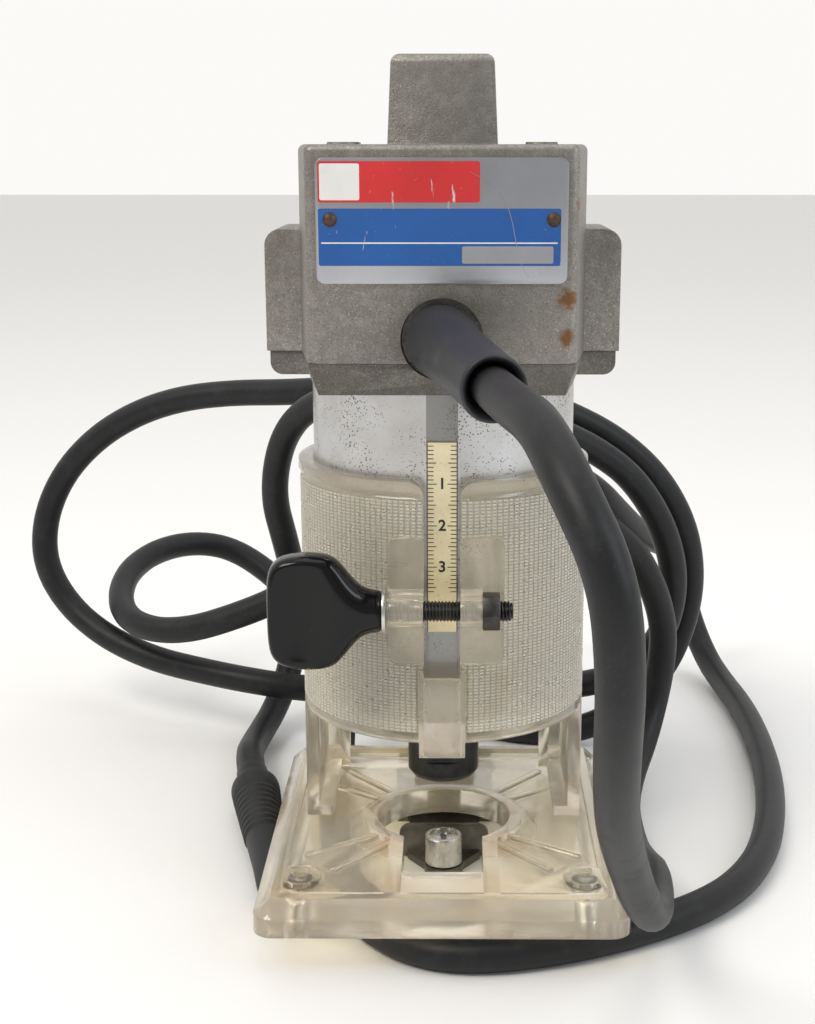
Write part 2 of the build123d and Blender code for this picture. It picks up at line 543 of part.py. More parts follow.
def route():
    """Centre line of the cord, from the mouth of its boot to the plug."""
    front = [(13.69, -112.7, 146.09), (17.5, -128, 145.6), (22, -143, 138), (28.5, -151, 124.5),
             (30.3, -150, 108), (31, -140, 91), (33, -122, 71), (37.5, -100, 52), (43, -81, 34),
             (48, -65, 21.5), (51.4, -48, 16.6), (52.5, -31, 16.3), (52.6, -13, 9.8),
             (52.1, 6, 4.8), (51.9, 24, 4.3), (52.9, 40, 4.6), (55.9, 54, 7.4)]
    turn_1 = [(60.8, 65.5, 13.6), (64.6, 73, 23.5), (67.1, 75.5, 36), (67, 73.5, 49), (62.8, 70, 62.5), (55, 66, 76),
              (42, 62, 85.5), (22, 61, 90), (3, 66, 86), (-13, 74, 75), (-23, 81, 60),
              (-29, 86.5, 42), (-31.5, 84.5, 26.5), (-32.6, 74.5, 13.5), (-32, 61, 5.7), (-31, 45, 4.3),
              (-30.3, 27, 4.4)]
    under = [(-29.3, 8, 4.3), (-27.3, -10, 4.3), (-23, -26, 4.3), (-15.5, -40, 4.3),
             (-4.5, -49.3, 4.3), (9, -51.6, 4.3), (25, -48.2, 4.3), (40, -42.3, 4.3)]
    right_loop = [(54, -34.5, 4.3), (67.5, -24.5, 4.3), (78.8, -11, 4.3), (87.8, 8, 4.3),
                  (94, 31, 4.3), (98.5, 57, 4.3), (101, 84, 4.3), (101.6, 111, 4.3),
                  (100.8, 131, 4.3), (98.8, 149, 4.6), (95.6, 163.5, 8), (91.5, 173.5, 17.5),
                  (87.8, 177, 30.5), (83.8, 173, 43.5), (78.6, 162, 52), (72, 147, 57.5),
                  (64.5, 132, 64.5), (56.3, 117.5, 74.5), (48, 104, 85), (36, 93, 93.5)]
    small_loop = [(18, 85.5, 97), (-2, 84, 92.5), (-20, 87, 80), (-34.5, 89.5, 66), (-46, 90, 56),
                  (-56.7, 91.5, 50), (-68.4, 93.5, 44.9), (-81.5, 97, 39.9), (-94.5, 102.5, 37.5),
                  (-105.5, 112, 38.3), (-111.5, 126, 41.5), (-111.8, 142, 46.5),
                  (-105.5, 157.5, 50), (-94, 168.5, 51), (-80, 172, 48.5), (-65.5, 168, 40.5),
                  (-50.5, 159.5, 28), (-35, 147, 15.5), (-19, 131, 7.4), (-3, 115.5, 4.6),
                  (14, 104.5, 4.3)]
    turn_2 = [(30, 98.5, 4.3), (46, 98, 5.6), (60.7, 102, 12.6), (71.5, 105.5, 23.7),
              (77.3, 106, 37), (79.6, 105, 50.3), (79, 103.5, 62.5), (75.9, 102, 74),
              (70.3, 100.5, 84.7), (62.9, 99, 94), (52.4, 97.5, 102.7), (39.6, 96, 109.7),
              (27, 92, 114.9), (13.5, 88.5, 118), (-3.3, 88.5, 119.5), (-20.4, 94, 118.5)]
    big_loop = [(-36.5, 104.5, 116.5), (-52, 113, 114.5), (-69, 121, 113.2), (-87, 127, 110.5),
                (-103, 131.5, 105), (-118, 134.5, 96), (-130.5, 136, 83), (-137.5, 135, 67.5),
                (-137.5, 131.5, 52.5), (-129.5, 128, 39), (-116, 122, 29.5), (-98.5, 114.5, 24),
                (-80.8, 107, 22.3), (-63.3, 101, 20.8), (-46, 101, 18.2), (-28.5, 103, 16.8),
                (-8, 105.3, 16.4), (13, 106.5, 16.3), (33, 105.5, 17.3)]
    turn_3 = [(49.5, 101, 20.5), (61, 95.5, 28), (68, 91, 38.5), (71.4, 88.5, 50), (71.6, 87.5, 61.5),
              (68.8, 86.5, 73), (63.5, 85, 84), (55.5, 83, 94.5), (44.8, 80, 102.4),
              (33.6, 75.5, 108.4), (19, 71, 113.8), (2, 69, 117.4), (-16, 72, 119.6),
              (-31.5, 80, 118.5)]
    last = [(-43, 90, 113), (-50.3, 96.5, 104), (-54, 100, 92.5), (-54.8, 102, 81),
            (-52.5, 104, 70), (-50.7, 107, 60), (-50, 113.4, 50.3), (-50.3, 120.6, 40),
            (-51.6, 122.9, 27.6), (-54, 118.4, 15.8), (-57.6, 107.5, 8), (-60.6, 94, 5.2),
            (-61.6, 79.5, 5.9), (-60.46, 65.06, 8.4)]
    sections = [front, turn_1, under, right_loop, small_loop, turn_2, big_loop, turn_3, last]
    inside_mouth = tuple(Vector(*BOOT_TIP) - boot_frame().z_dir * BOOT_MOUTH)
    return [inside_mouth] + [p for s in sections for p in s] + [PLUG_ENTRY]


def arc_radii(points):
    radii = []
    for a, b, c in zip(points, points[1:], points[2:]):
        before, after = Vector(*b) - Vector(*a), Vector(*c) - Vector(*b)
        turn = radians(before.get_angle(after))
        radii.append(0.45 * min(before.length, after.length) / tan(turn / 2))
    return radii


def middle(a, b):
    return tuple((Vector(*a) + Vector(*b)) * 0.5)


CUTS = (0, 33, 66, 99)        # route points after which a new length of cord starts


def cord_tubes():
    """The cord in four lengths that meet face to face in the middle of a run."""
    points = route()
    radii = arc_radii(points)
    print("cord arc radii", " ".join(f"{r:.0f}" for r in radii), "smallest", round(min(radii), 1))
    end_index = len(points) - 1
    ends = CUTS[1:] + (end_index,)
    total = 0.0
    for n, (first, last) in enumerate(zip(CUTS, ends), 1):
        inner = points[first + 1:last + 1] if last < end_index else points[first + 1:-1]
        start = points[0] if first == 0 else middle(points[first], points[first + 1])
        end = points[-1] if last == end_index else middle(points[last], points[last + 1])
        path = FilletPolyline(start, *inner, end, radius=radii[first:first + len(inner)])
        line = path if isinstance(path, Wire) else Wire(path.edges())
        tube = sweep(Plane(origin=line @ 0, z_dir=line % 0) * Circle(CORD_D / 2), path=line)
        expected = pi * CORD_D ** 2 / 4 * line.length
        total += line.length
        print(f"cord_{n}: {line.length:.0f} mm, volume / (section x length) = {tube.volume / expected:.4f}")
        parts[f"cord_{n}"] = tube
    print(f"cord total {total:.0f} mm")


def plug_frame():
    return Plane(origin=Vector(*PLUG_ENTRY), z_dir=Vector(*PLUG_END) - Vector(*PLUG_ENTRY),
                 x_dir=(0, 0, 1))


def plug_body():
    """Neck round the cord, wide shoulder, ribbed grip and a slimmer front end."""
    length = (Vector(*PLUG_END) - Vector(*PLUG_ENTRY)).length
    corners = [(0, 0.05), (4.6, 0.05), (4.8, 9.5), (6.5, 11.5), (7.15, 13.0), (6.95, 20.0)]
    for i in range(6):
        z = 21.0 + 3.8 * i
        r = 6.6 - 0.19 * i
        corners += [(r - 0.35, z), (r + 0.2, z + 0.6), (r + 0.2, z + 2.4), (r - 0.35, z + 3.0)]
    corners += [(5.3, 45.5), (4.6, 60.0), (4.4, length - 1.5), (3.7, length), (0, length)]
    return plug_frame() * revolve(make_face(Plane.XZ * Polyline(*corners, close=True)), Axis.Z)


def plug_blades():
    length = (Vector(*PLUG_END) - Vector(*PLUG_ENTRY)).length
    group = []
    for side in (-1, 1):
        blade = Pos(side * 2.6, 0, length + 8.0) * Box(1.4, 5.0, 16.0)
        blade = chamfer(blade.edges().filter_by(Axis.X).group_by(Axis.Z)[-1], 1.0)
        group.append(plug_frame() * blade)
    return Compound(group)


# ---- all nodes ----------------------------------------------------------------------
parts["base_plate"] = base_plate()
parts["base_inserts"] = base_inserts()
parts["base_collar"] = base_collar()
parts["clamp_screw"] = clamp_screw()
parts["clamp_knob"] = clamp_knob()
parts["clamp_washer"] = clamp_washer()
parts["clamp_nut"] = clamp_nut()
parts["guide_holder"] = guide_holder()
parts["guide_arm"] = guide_arm()
parts["guide_rivet"] = guide_rivet()
parts["roller_pin"] = roller_pin()
parts["guide_roller"] = guide_roller()
parts["guide_thumb_screw"] = guide_thumb_screw()
parts["motor_housing"] = motor_housing()
parts["scale_strip"] = scale_strip()
parts["stator_core"] = stator_core()
parts["field_coils"] = field_coils()
parts["motor_shaft"] = motor_shaft()
parts["armature_core"] = armature_core()
parts["armature_windings"] = armature_windings()
parts["commutator"] = commutator()
parts["cooling_fan"] = cooling_fan()
parts["lower_bearing"] = ball_bearing(11.0, SHAFT_R + FIT, 49.0, 55.0)
parts["upper_bearing"] = ball_bearing(9.5, 3.0 + FIT, 174.1, 180.1)
parts["bearing_retainer"] = bearing_retainer()
parts["collet_cone"] = collet_cone()
parts["collet_nut"] = collet_nut()
parts["head_flange"] = head_flange()
parts["head_cover"] = head_cover()
parts["cover_screws"] = cover_screws()
parts["nameplate"] = nameplate()
parts["nameplate_rivets"] = nameplate_rivets()
parts["brush_holders"] = brush_holders()
parts["brush_caps"] = brush_caps()
for label, side in (("left", -1), ("right", 1)):
    parts[f"carbon_brush_{label}"] = carbon_brush(side)
    parts[f"brush_spring_{label}"] = brush_spring(side)
parts["switch_body"] = switch_body()
parts["switch_bushing"] = switch_bushing()
parts["switch_lever"] = switch_lever()
parts["terminal_block"] = terminal_block()
parts["cord_boot"] = cord_boot()
cord_tubes()
parts["plug_body"] = plug_body()
parts["plug_blades"] = plug_blades()

for name, shape in parts.items():
    export_step(shape, f"{OUT}/{name}.step")
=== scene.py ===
import json
from math import cos, pi, radians, sin, tau

import bmesh
import bpy
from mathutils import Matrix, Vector


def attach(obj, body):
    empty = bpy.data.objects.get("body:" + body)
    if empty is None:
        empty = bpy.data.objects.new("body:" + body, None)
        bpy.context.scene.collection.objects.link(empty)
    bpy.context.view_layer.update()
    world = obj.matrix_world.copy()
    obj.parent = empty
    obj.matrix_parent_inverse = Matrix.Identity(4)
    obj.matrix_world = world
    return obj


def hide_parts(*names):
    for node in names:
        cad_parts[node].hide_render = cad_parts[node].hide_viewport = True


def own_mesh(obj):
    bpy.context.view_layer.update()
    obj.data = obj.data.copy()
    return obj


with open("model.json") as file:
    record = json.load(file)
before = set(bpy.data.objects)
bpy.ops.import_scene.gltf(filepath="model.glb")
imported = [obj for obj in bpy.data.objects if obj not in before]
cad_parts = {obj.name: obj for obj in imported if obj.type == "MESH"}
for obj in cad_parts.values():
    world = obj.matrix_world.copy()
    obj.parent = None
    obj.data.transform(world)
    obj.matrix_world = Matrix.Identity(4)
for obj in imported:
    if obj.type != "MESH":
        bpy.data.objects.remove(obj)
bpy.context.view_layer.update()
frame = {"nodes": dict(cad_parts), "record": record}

NODES = frame["nodes"]
SLOT_OF = {part["node"]: part["material_slot"] for part in frame["record"]["subparts"]}
BODY_OF = {n: b for b, ns in frame["record"]["behaviour"]["bodies"].items() for n in ns}
MM = 0.001                            # metres in a millimetre

COLLAR_R = 35.8
GRIP_Z0, GRIP_Z1 = 54.5, 111.6
GRIP_FROM, GRIP_TO = 9.5, 171.0      # degrees round from the front, on each side
CELL_W, CELL_H = 1.45, 0.8


# ---- camera, light and floor --------------------------------------------------------
EYE = (0.00336, -0.3977, 0.1918)      # metres
PITCH_DOWN, ROLL = 0.247, 0.007       # radians
LENS, SENSOR = 56.3, 36.0             # millimetres
SHIFT = (-0.0372, 0.0351)
FLOOR_SIZE = 12.0
ROOM_FRONT, ROOM_BACK = 0.34, 0.97    # strength of the room's light from before and behind


def camera():
    data = bpy.data.cameras.new("camera")
    data.sensor_width = SENSOR
    data.lens = LENS
    data.shift_x, data.shift_y = SHIFT
    data.clip_start = 0.01
    eye = bpy.data.objects.new("camera", data)
    eye.location = EYE
    eye.rotation_euler = (pi / 2 - PITCH_DOWN, 0.0, ROLL)
    bpy.context.scene.collection.objects.link(eye)
    bpy.context.scene.camera = eye


def area_light(name, place, aim, size, power, colour):
    data = bpy.data.lights.new(name, "AREA")
    data.shape = "RECTANGLE"
    data.size, data.size_y = size
    data.energy = power
    data.color = colour
    lamp = bpy.data.objects.new(name, data)
    lamp.location = place
    lamp.rotation_euler = (Vector(aim) - Vector(place)).to_track_quat("-Z", "Y").to_euler()
    bpy.context.scene.collection.objects.link(lamp)


def studio():
    world = bpy.data.worlds.new("studio")
    world.use_nodes = True
    tree = world.node_tree
    tree.nodes["Background"].inputs["Color"].default_value = (1.0, 0.985, 0.965, 1)
    # the room is dimmer on the side the object faces, and bright behind and above it
    where = tree.nodes.new("ShaderNodeSeparateXYZ")
    tree.links.new(tree.nodes.new("ShaderNodeTexCoord").outputs["Generated"], where.inputs[0])
    glow = tree.nodes.new("ShaderNodeMapRange")
    for socket, value in (("From Min", -0.75), ("From Max", 0.15), ("To Min", ROOM_FRONT),
                          ("To Max", ROOM_BACK)):
        glow.inputs[socket].default_value = value
    tree.links.new(where.outputs[1], glow.inputs["Value"])
    tree.links.new(glow.outputs[0], tree.nodes["Background"].inputs["Strength"])
    bpy.context.scene.world = world
    middle = (0, 0, 0.1)
    area_light("key", (-0.75, -0.75, 1.25), middle, (0.7, 0.5), 11.5, (1.0, 0.96, 0.90))
    area_light("window", (0.95, -0.55, 0.75), middle, (0.35, 0.9), 4.5, (0.84, 0.92, 1.0))
    area_light("top", (0.1, 0.05, 1.5), (0, 0.1, 0), (1.2, 0.8), 3.0, (1.0, 0.99, 0.97))
    bpy.context.scene.view_settings.view_transform = "Standard"


def floor():
    bpy.ops.mesh.primitive_plane_add(size=FLOOR_SIZE)
    ground = bpy.context.object
    ground.name = "floor"
    ground.data.materials.append(plain_material("floor", (0.88, 0.875, 0.865), roughness=0.55))


# ---- materials ----------------------------------------------------------------------
class Shader:
    """A Principled material whose colour, roughness and bump come from object-space patterns."""

    def __init__(self, name, colour, **sockets):
        self.material = bpy.data.materials.new(name)
        self.material.use_nodes = True
        self.tree = self.material.node_tree
        self.bsdf = self.tree.nodes["Principled BSDF"]
        self.bsdf.inputs["Base Color"].default_value = (*colour, 1)
        for socket, value in sockets.items():
            label = socket.replace("_", " ").title().replace("Ior", "IOR")
            self.bsdf.inputs[label].default_value = value
        self.place = self.node("ShaderNodeTexCoord").outputs["Object"]
        self.last_normal = None

    def node(self, kind, inputs=(), **settings):
        made = self.tree.nodes.new(kind)
        for key, value in settings.items():
            setattr(made, key, value)
        for key, value in dict(inputs).items():
            if isinstance(value, bpy.types.NodeSocket):
                self.tree.links.new(value, made.inputs[key])
            else:
                made.inputs[key].default_value = value
        return made

    def link(self, source, socket):
        self.tree.links.new(source, self.bsdf.inputs[socket])

    def stretched(self, scale):
        return self.node("ShaderNodeMapping", {"Vector": self.place, "Scale": scale}).outputs[0]

    def noise(self, scale, detail=4.0, rough=0.55, stretch=None, distortion=0.0):
        where = self.stretched(stretch) if stretch else self.place
        made = self.node("ShaderNodeTexNoise", {"Vector": where, "Scale": scale, "Detail": detail,
                                                "Roughness": rough, "Distortion": distortion})
        return made.outputs["Fac"]

    def cells(self, scale, feature="F1", stretch=None):
        where = self.stretched(stretch) if stretch else self.place
        return self.node("ShaderNodeTexVoronoi", {"Vector": where, "Scale": scale},
                         feature=feature).outputs["Distance"]

    def ramp(self, source, low, high, start=0.0, end=1.0):
        """Maps source from low..high to start..end, clamped."""
        return self.node("ShaderNodeMapRange", {"Value": source, "From Min": low, "From Max": high,
                                                "To Min": start, "To Max": end}).outputs[0]

    def math(self, operation, a, b=0.0):
        return self.node("ShaderNodeMath", {0: a, 1: b}, operation=operation).outputs[0]

    def mix(self, factor, a, b):
        """Colour a where factor is 0 and b where it is 1."""
        made = self.node("ShaderNodeMix", data_type="RGBA")
        for index, value in ((0, factor), (6, a), (7, b)):
            if isinstance(value, bpy.types.NodeSocket):
                self.tree.links.new(value, made.inputs[index])
            else:
                made.inputs[index].default_value = value if index == 0 else (*value, 1)
        return made.outputs[2]

    def near(self, centre, radius, softness, wobble=0.0, scale=300.0):
        """1 inside a ragged blob round a point given in metres, 0 outside."""
        offset = self.node("ShaderNodeVectorMath", {0: self.place, 1: centre}, operation="DISTANCE")
        distance = offset.outputs["Value"]
        if wobble:
            ragged = self.math("MULTIPLY", self.math("SUBTRACT", self.noise(scale), 0.5), wobble)
            distance = self.math("ADD", distance, ragged)
        return self.ramp(distance, radius + softness, radius - softness)

    def bump(self, height, distance, strength=1.0):
        made = self.node("ShaderNodeBump", {"Height": height, "Distance": distance,
                                            "Strength": strength})
        if self.last_normal is not None:
            self.tree.links.new(self.last_normal, made.inputs["Normal"])
        self.last_normal = made.outputs[0]
        self.link(made.outputs[0], "Normal")


def plain_material(name, colour, **sockets):
    return Shader(name, colour, **sockets).material


def cast_aluminium(name, shade=1.0):
    """Sand-cast skin: grey, granular, with bright rubbed grains, dark pores and a few rust spots. A shade
    below 1 darkens all of it towards black as painted shade.
    """
    s = Shader(name, (0.3, 0.3, 0.3), metallic=0.88)
    grain = s.noise(2700.0, 3.0, 0.7)
    mottle = s.noise(330.0, 5.0, 0.62)
    cloud = s.noise(22.0, 3.0)
    colour = s.mix(s.ramp(cloud, 0.3, 0.7), (0.205, 0.190, 0.170), (0.275, 0.259, 0.236))
    colour = s.mix(s.ramp(mottle, 0.45, 0.78, 0.0, 0.7), colour, (0.37, 0.352, 0.325))
    colour = s.mix(s.ramp(grain, 0.60, 0.74), colour, (0.66, 0.64, 0.60))
    colour = s.mix(s.ramp(grain, 0.42, 0.34, 0.0, 0.8), colour, (0.105, 0.099, 0.091))
    rust = (0.20, 0.105, 0.05)
    for centre, radius in (((0.0283, -0.0360, 0.1580), 0.0020), ((0.0283, -0.0360, 0.1496), 0.0017),
                           ((0.0085, -0.013, 0.2095), 0.0016), ((0.0302, -0.034, 0.1790), 0.0010)):
        colour = s.mix(s.near(centre, radius, 0.0008, 0.004, 700.0), colour, rust)
    # shade below 1 mixes the whole colour towards black: painted shade for a surface that faces down, away
    # from the light
    s.link(s.mix(shade, (0.0, 0.0, 0.0), colour), "Base Color")
    s.link(s.ramp(grain, 0.35, 0.70, 0.56, 0.36), "Roughness")
    s.bump(s.noise(1200.0, 4.0, 0.7), 0.00014, 0.7)
    s.bump(s.noise(3200.0, 2.0, 0.6), 0.00006, 0.7)
    return s.material


def motor_tube():
    """Turned tube: bright, with faint rings round it, handling scratches and dark pitting."""
    s = Shader("motor_tube", (0.7, 0.7, 0.7), metallic=1.0)
    haze = s.noise(55.0, 4.0, 0.6)
    pits = s.cells(1500.0)
    patches = s.noise(75.0, 3.0, 0.6, distortion=0.6)
    lines = s.noise(700.0, 2.0, 0.5, stretch=(0.12, 0.12, 1.0))
    streaks = s.noise(160.0, 3.0, 0.6, stretch=(1.0, 1.0, 0.08))
    colour = s.mix(s.ramp(haze, 0.3, 0.7), (0.42, 0.41, 0.395), (0.60, 0.60, 0.605))
    colour = s.mix(s.ramp(streaks, 0.55, 0.75, 0.0, 0.35), colour, (0.50, 0.50, 0.50))
    size = s.ramp(patches, 0.38, 0.72, 0.10, 0.48)
    pitted = s.ramp(s.math("SUBTRACT", size, pits), 0.0, 0.06)
    colour = s.mix(s.math("MULTIPLY", pitted, 0.9), colour, (0.15, 0.14, 0.13))
    # the sunk channel behind and below the scale is coloured darker than the turned skin, as painted shade
    where = s.node("ShaderNodeSeparateXYZ", {0: s.place})
    channel_painted_shade = s.math("MULTIPLY", s.math("LESS_THAN", s.math("ABSOLUTE", where.outputs[0]), 0.0037),
                    s.math("LESS_THAN", where.outputs[1], -0.0290))
    colour = s.mix(s.math("MULTIPLY", channel_painted_shade, 0.8), colour, (0.21, 0.205, 0.195))
    s.link(colour, "Base Color")
    rough = s.math("ADD", s.ramp(haze, 0.3, 0.7, 0.24, 0.36), s.math("MULTIPLY", pitted, 0.35))
    s.link(rough, "Roughness")
    s.bump(lines, 0.00003, 0.35)
    s.bump(pitted, 0.00006, -0.6)
    return s.material


def grip_counts():
    """Bricks round one side of the collar, and up it."""
    return (round(radians(GRIP_TO - GRIP_FROM) * COLLAR_R / CELL_W), round((GRIP_Z1 - GRIP_Z0) / CELL_H))


def grip_pattern(s):
    """1 on the moulded grip round the collar, and the height of its small bricks."""
    where = s.node("ShaderNodeSeparateXYZ", {0: s.place})
    x, y, z = where.outputs
    radius = s.math("SQRT", s.math("ADD", s.math("MULTIPLY", x, x), s.math("MULTIPLY", y, y)))
    across = s.math("LESS_THAN", s.math("ABSOLUTE", s.math("SUBTRACT", radius, 0.0361)), 0.00045)
    up = s.math("LESS_THAN", s.math("ABSOLUTE", s.math("SUBTRACT", z, (GRIP_Z0 + GRIP_Z1) / 2 * MM)),
                (GRIP_Z1 - GRIP_Z0) / 2 * MM)
    turn = s.math("ARCTAN2", s.math("ABSOLUTE", x), s.math("MULTIPLY", y, -1.0))
    columns, rows = grip_counts()
    along = s.math("MULTIPLY", s.math("SUBTRACT", turn, radians(GRIP_FROM)),
                   columns / radians(GRIP_TO - GRIP_FROM))
    upward = s.math("MULTIPLY", s.math("SUBTRACT", z, GRIP_Z0 * MM), rows / ((GRIP_Z1 - GRIP_Z0) * MM))
    edges = []
    for phase in (along, upward):
        saw = s.math("FRACT", phase)
        edges.append(s.ramp(s.math("ABSOLUTE", s.math("SUBTRACT", saw, 0.5)), 0.46, 0.30))
    return s.math("MULTIPLY", across, up), s.math("MULTIPLY", *edges)


def clear_plastic(name, milk, stain):
    """Old transparent plastic: yellowed, a little milky, with brown grime in the corners, and painted shade
    in the grooves of the moulded grip.
    """
    s = Shader(name, (0.9, 0.85, 0.7), roughness=0.12, transmission_weight=1.0 - milk, ior=1.54)
    cloud = s.noise(45.0, 4.0, 0.6)
    colour = s.mix(s.ramp(cloud, 0.3, 0.7), (0.90, 0.85, 0.745), (0.86, 0.795, 0.66))
    specks = s.ramp(s.cells(420.0), 0.12, 0.05)
    colour = s.mix(s.math("MULTIPLY", specks, 0.2), colour, (0.45, 0.36, 0.22))
    brown = (0.62, 0.40, 0.20)
    for centre, radius, amount in stain:
        blob = s.near(centre, radius, radius * 0.75, radius * 1.6, 220.0)
        colour = s.mix(s.math("MULTIPLY", blob, amount), colour, brown)
    grip, brick = grip_pattern(s)
    # the grooves between the grip's bricks are coloured darker as painted shade; the brick faces are paler
    paler = s.mix(brick, (0.52, 0.48, 0.39), (0.90, 0.86, 0.76))
    colour = s.mix(s.math("MULTIPLY", grip, 0.75), colour, paler)
    s.link(colour, "Base Color")
    s.link(s.math("SUBTRACT", 1.0 - milk, s.math("MULTIPLY", grip, 0.34)), "Transmission Weight")
    haze = s.ramp(s.noise(260.0, 5.0, 0.65), 0.35, 0.75, 0.08, 0.26)
    s.link(s.math("ADD", haze, s.math("MULTIPLY", grip, 0.16)), "Roughness")
    s.bump(s.math("MULTIPLY", grip, brick), 0.0004, 0.9)
    s.bump(s.noise(90.0, 3.0), 0.0003, 0.12)
    s.bump(s.ramp(s.noise(500.0, 3.0, 0.6, stretch=(1.0, 0.25, 1.0)), 0.62, 0.75), 0.00004, 0.35)
    lamp_rays = s.node("ShaderNodeLightPath").outputs["Is Shadow Ray"]
    clear = s.node("ShaderNodeBsdfTransparent", {"Color": (0.86, 0.83, 0.74, 1)})
    both = s.node("ShaderNodeMixShader", {0: lamp_rays, 1: s.bsdf.outputs[0], 2: clear.outputs[0]})
    s.tree.links.new(both.outputs[0], s.tree.nodes["Material Output"].inputs["Surface"])
    return s.material


def steel(name, dark, light, rough, rust=0.0, metallic=1.0):
    s = Shader(name, light, metallic=metallic)
    cloud = s.noise(220.0, 4.0, 0.6)
    fine = s.noise(1500.0, 2.0, 0.6, stretch=(1.0, 1.0, 0.2))
    colour = s.mix(s.ramp(cloud, 0.3, 0.7), dark, light)
    if rust:
        spots = s.ramp(s.noise(480.0, 4.0, 0.7), 0.70 - rust, 0.78 - rust)
        colour = s.mix(spots, colour, (0.22, 0.12, 0.06))
    s.link(colour, "Base Color")
    s.link(s.ramp(fine, 0.3, 0.7, rough - 0.07, rough + 0.10), "Roughness")
    s.bump(fine, 0.00003, 0.4)
    return s.material


def rubber(name, colour, scuffed, rough):
    """Matt rubber with paler scuffs and dust."""
    s = Shader(name, colour, specular_ior_level=0.32)
    scuffs = s.ramp(s.noise(130.0, 5.0, 0.65), 0.52, 0.80)
    dust = s.ramp(s.noise(1300.0, 2.0, 0.7), 0.62, 0.80, 0.0, 0.5)
    shade = s.mix(scuffs, colour, scuffed)
    s.link(s.mix(dust, shade, tuple(c * 1.6 for c in scuffed)), "Base Color")
    s.link(s.ramp(scuffs, 0.0, 1.0, rough, rough + 0.16), "Roughness")
    s.bump(s.noise(1700.0, 3.0, 0.6), 0.00005, 0.35)
    return s.material


def gloss_black():
    s = Shader("black_gloss_plastic", (0.005, 0.005, 0.0055), specular_ior_level=0.28)
    wear = s.ramp(s.noise(150.0, 5.0, 0.6), 0.60, 0.80)
    nicks = s.ramp(s.noise(900.0, 3.0, 0.6, stretch=(0.25, 1.0, 1.0)), 0.70, 0.80)
    s.link(s.mix(nicks, (0.005, 0.005, 0.0055), (0.06, 0.06, 0.062)), "Base Color")
    s.link(s.ramp(wear, 0.0, 1.0, 0.12, 0.30), "Roughness")
    s.bump(nicks, 0.00003, 0.3)
    return s.material


def moulded(name, colour, rough):
    s = Shader(name, colour)
    grain = s.noise(1400.0, 3.0, 0.6)
    paler = tuple(c * 1.5 + 0.004 for c in colour)
    s.link(s.mix(s.ramp(s.noise(120.0), 0.35, 0.7), colour, paler), "Base Color")
    s.link(s.ramp(grain, 0.3, 0.7, rough, rough + 0.15), "Roughness")
    s.bump(grain, 0.00004, 0.4)
    return s.material


def enamelled(name, colour):
    """Bundled enamelled wire, as bands round the coil."""
    s = Shader(name, colour, metallic=0.65)
    turns = s.noise(900.0, 1.0, 0.4, stretch=(1.0, 1.0, 0.06))
    s.link(s.mix(s.ramp(turns, 0.35, 0.65), tuple(c * 0.55 for c in colour), colour), "Base Color")
    s.link(s.ramp(turns, 0.3, 0.7, 0.30, 0.5), "Roughness")
    s.bump(turns, 0.0003, 0.6)
    return s.material


def laminated():
    s = Shader("lamination", (0.22, 0.22, 0.23), metallic=0.9)
    sheets = s.noise(2200.0, 0.0, 0.5, stretch=(0.01, 0.01, 1.0))
    s.link(s.mix(s.ramp(sheets, 0.4, 0.6), (0.12, 0.12, 0.125), (0.30, 0.30, 0.31)), "Base Color")
    s.link(s.ramp(sheets, 0.4, 0.6, 0.55, 0.35), "Roughness")
    s.bump(sheets, 0.0001, 0.5)
    return s.material


def printed(name, colour, metal_share=0.0):
    """Ink or paint on the nameplate, scratched through to the metal here and there."""
    s = Shader(name, colour, metallic=metal_share)
    scratches = s.ramp(s.noise(420.0, 3.0, 0.55, stretch=(1.0, 1.0, 0.22), distortion=0.8), 0.70, 0.75)
    wear = s.ramp(s.noise(1300.0, 4.0, 0.7), 0.68, 0.78, 0.0, 0.8)
    worn = s.math("MAXIMUM", scratches, wear)
    cloud = s.ramp(s.noise(70.0), 0.3, 0.7)
    shade = s.mix(cloud, tuple(c * 0.86 for c in colour), colour)
    s.link(s.mix(worn, shade, (0.58, 0.58, 0.57)), "Base Color")
    s.link(s.ramp(worn, 0.0, 1.0, 0.34, 0.48), "Roughness")
    s.bump(worn, 0.00003, -0.4)
    return s.material


def scale_label():
    s = Shader("scale_label", (0.7, 0.6, 0.36))
    age = s.noise(90.0, 4.0, 0.6)
    dirt = s.ramp(s.noise(700.0, 3.0, 0.7), 0.60, 0.78)
    colour = s.mix(s.ramp(age, 0.35, 0.65), (0.66, 0.58, 0.38), (0.78, 0.70, 0.46))
    s.link(s.mix(s.math("MULTIPLY", dirt, 0.5), colour, (0.38, 0.31, 0.18)), "Base Color")
    s.link(s.ramp(age, 0.3, 0.7, 0.30, 0.42), "Roughness")
    s.bump(age, 0.00005, 0.3)
    return s.material


STAINS_PLATE = (((0.0, -0.018, 0.018), 0.010, 0.55), ((-0.012, -0.016, 0.016), 0.006, 0.6),
                ((0.013, -0.016, 0.016), 0.006, 0.6), ((-0.012, -0.040, 0.015), 0.007, 0.5),
                ((0.012, -0.040, 0.015), 0.007, 0.5), ((0.018, 0.004, 0.017), 0.004, 0.6),
                ((-0.018, 0.004, 0.017), 0.004, 0.5), ((-0.035, -0.045, 0.016), 0.010, 0.3))
STAINS_COLLAR = (((0.0145, -0.034, 0.066), 0.0032, 1.0), ((0.0125, -0.034, 0.061), 0.0022, 1.0),
                 ((0.0, -0.036, 0.052), 0.006, 0.25), ((0.033, 0.0, 0.054), 0.006, 0.5),
                 ((-0.033, 0.0, 0.054), 0.006, 0.4), ((0.0335, 0.004, 0.024), 0.006, 0.45),
                 ((-0.0335, 0.004, 0.024), 0.006, 0.4))


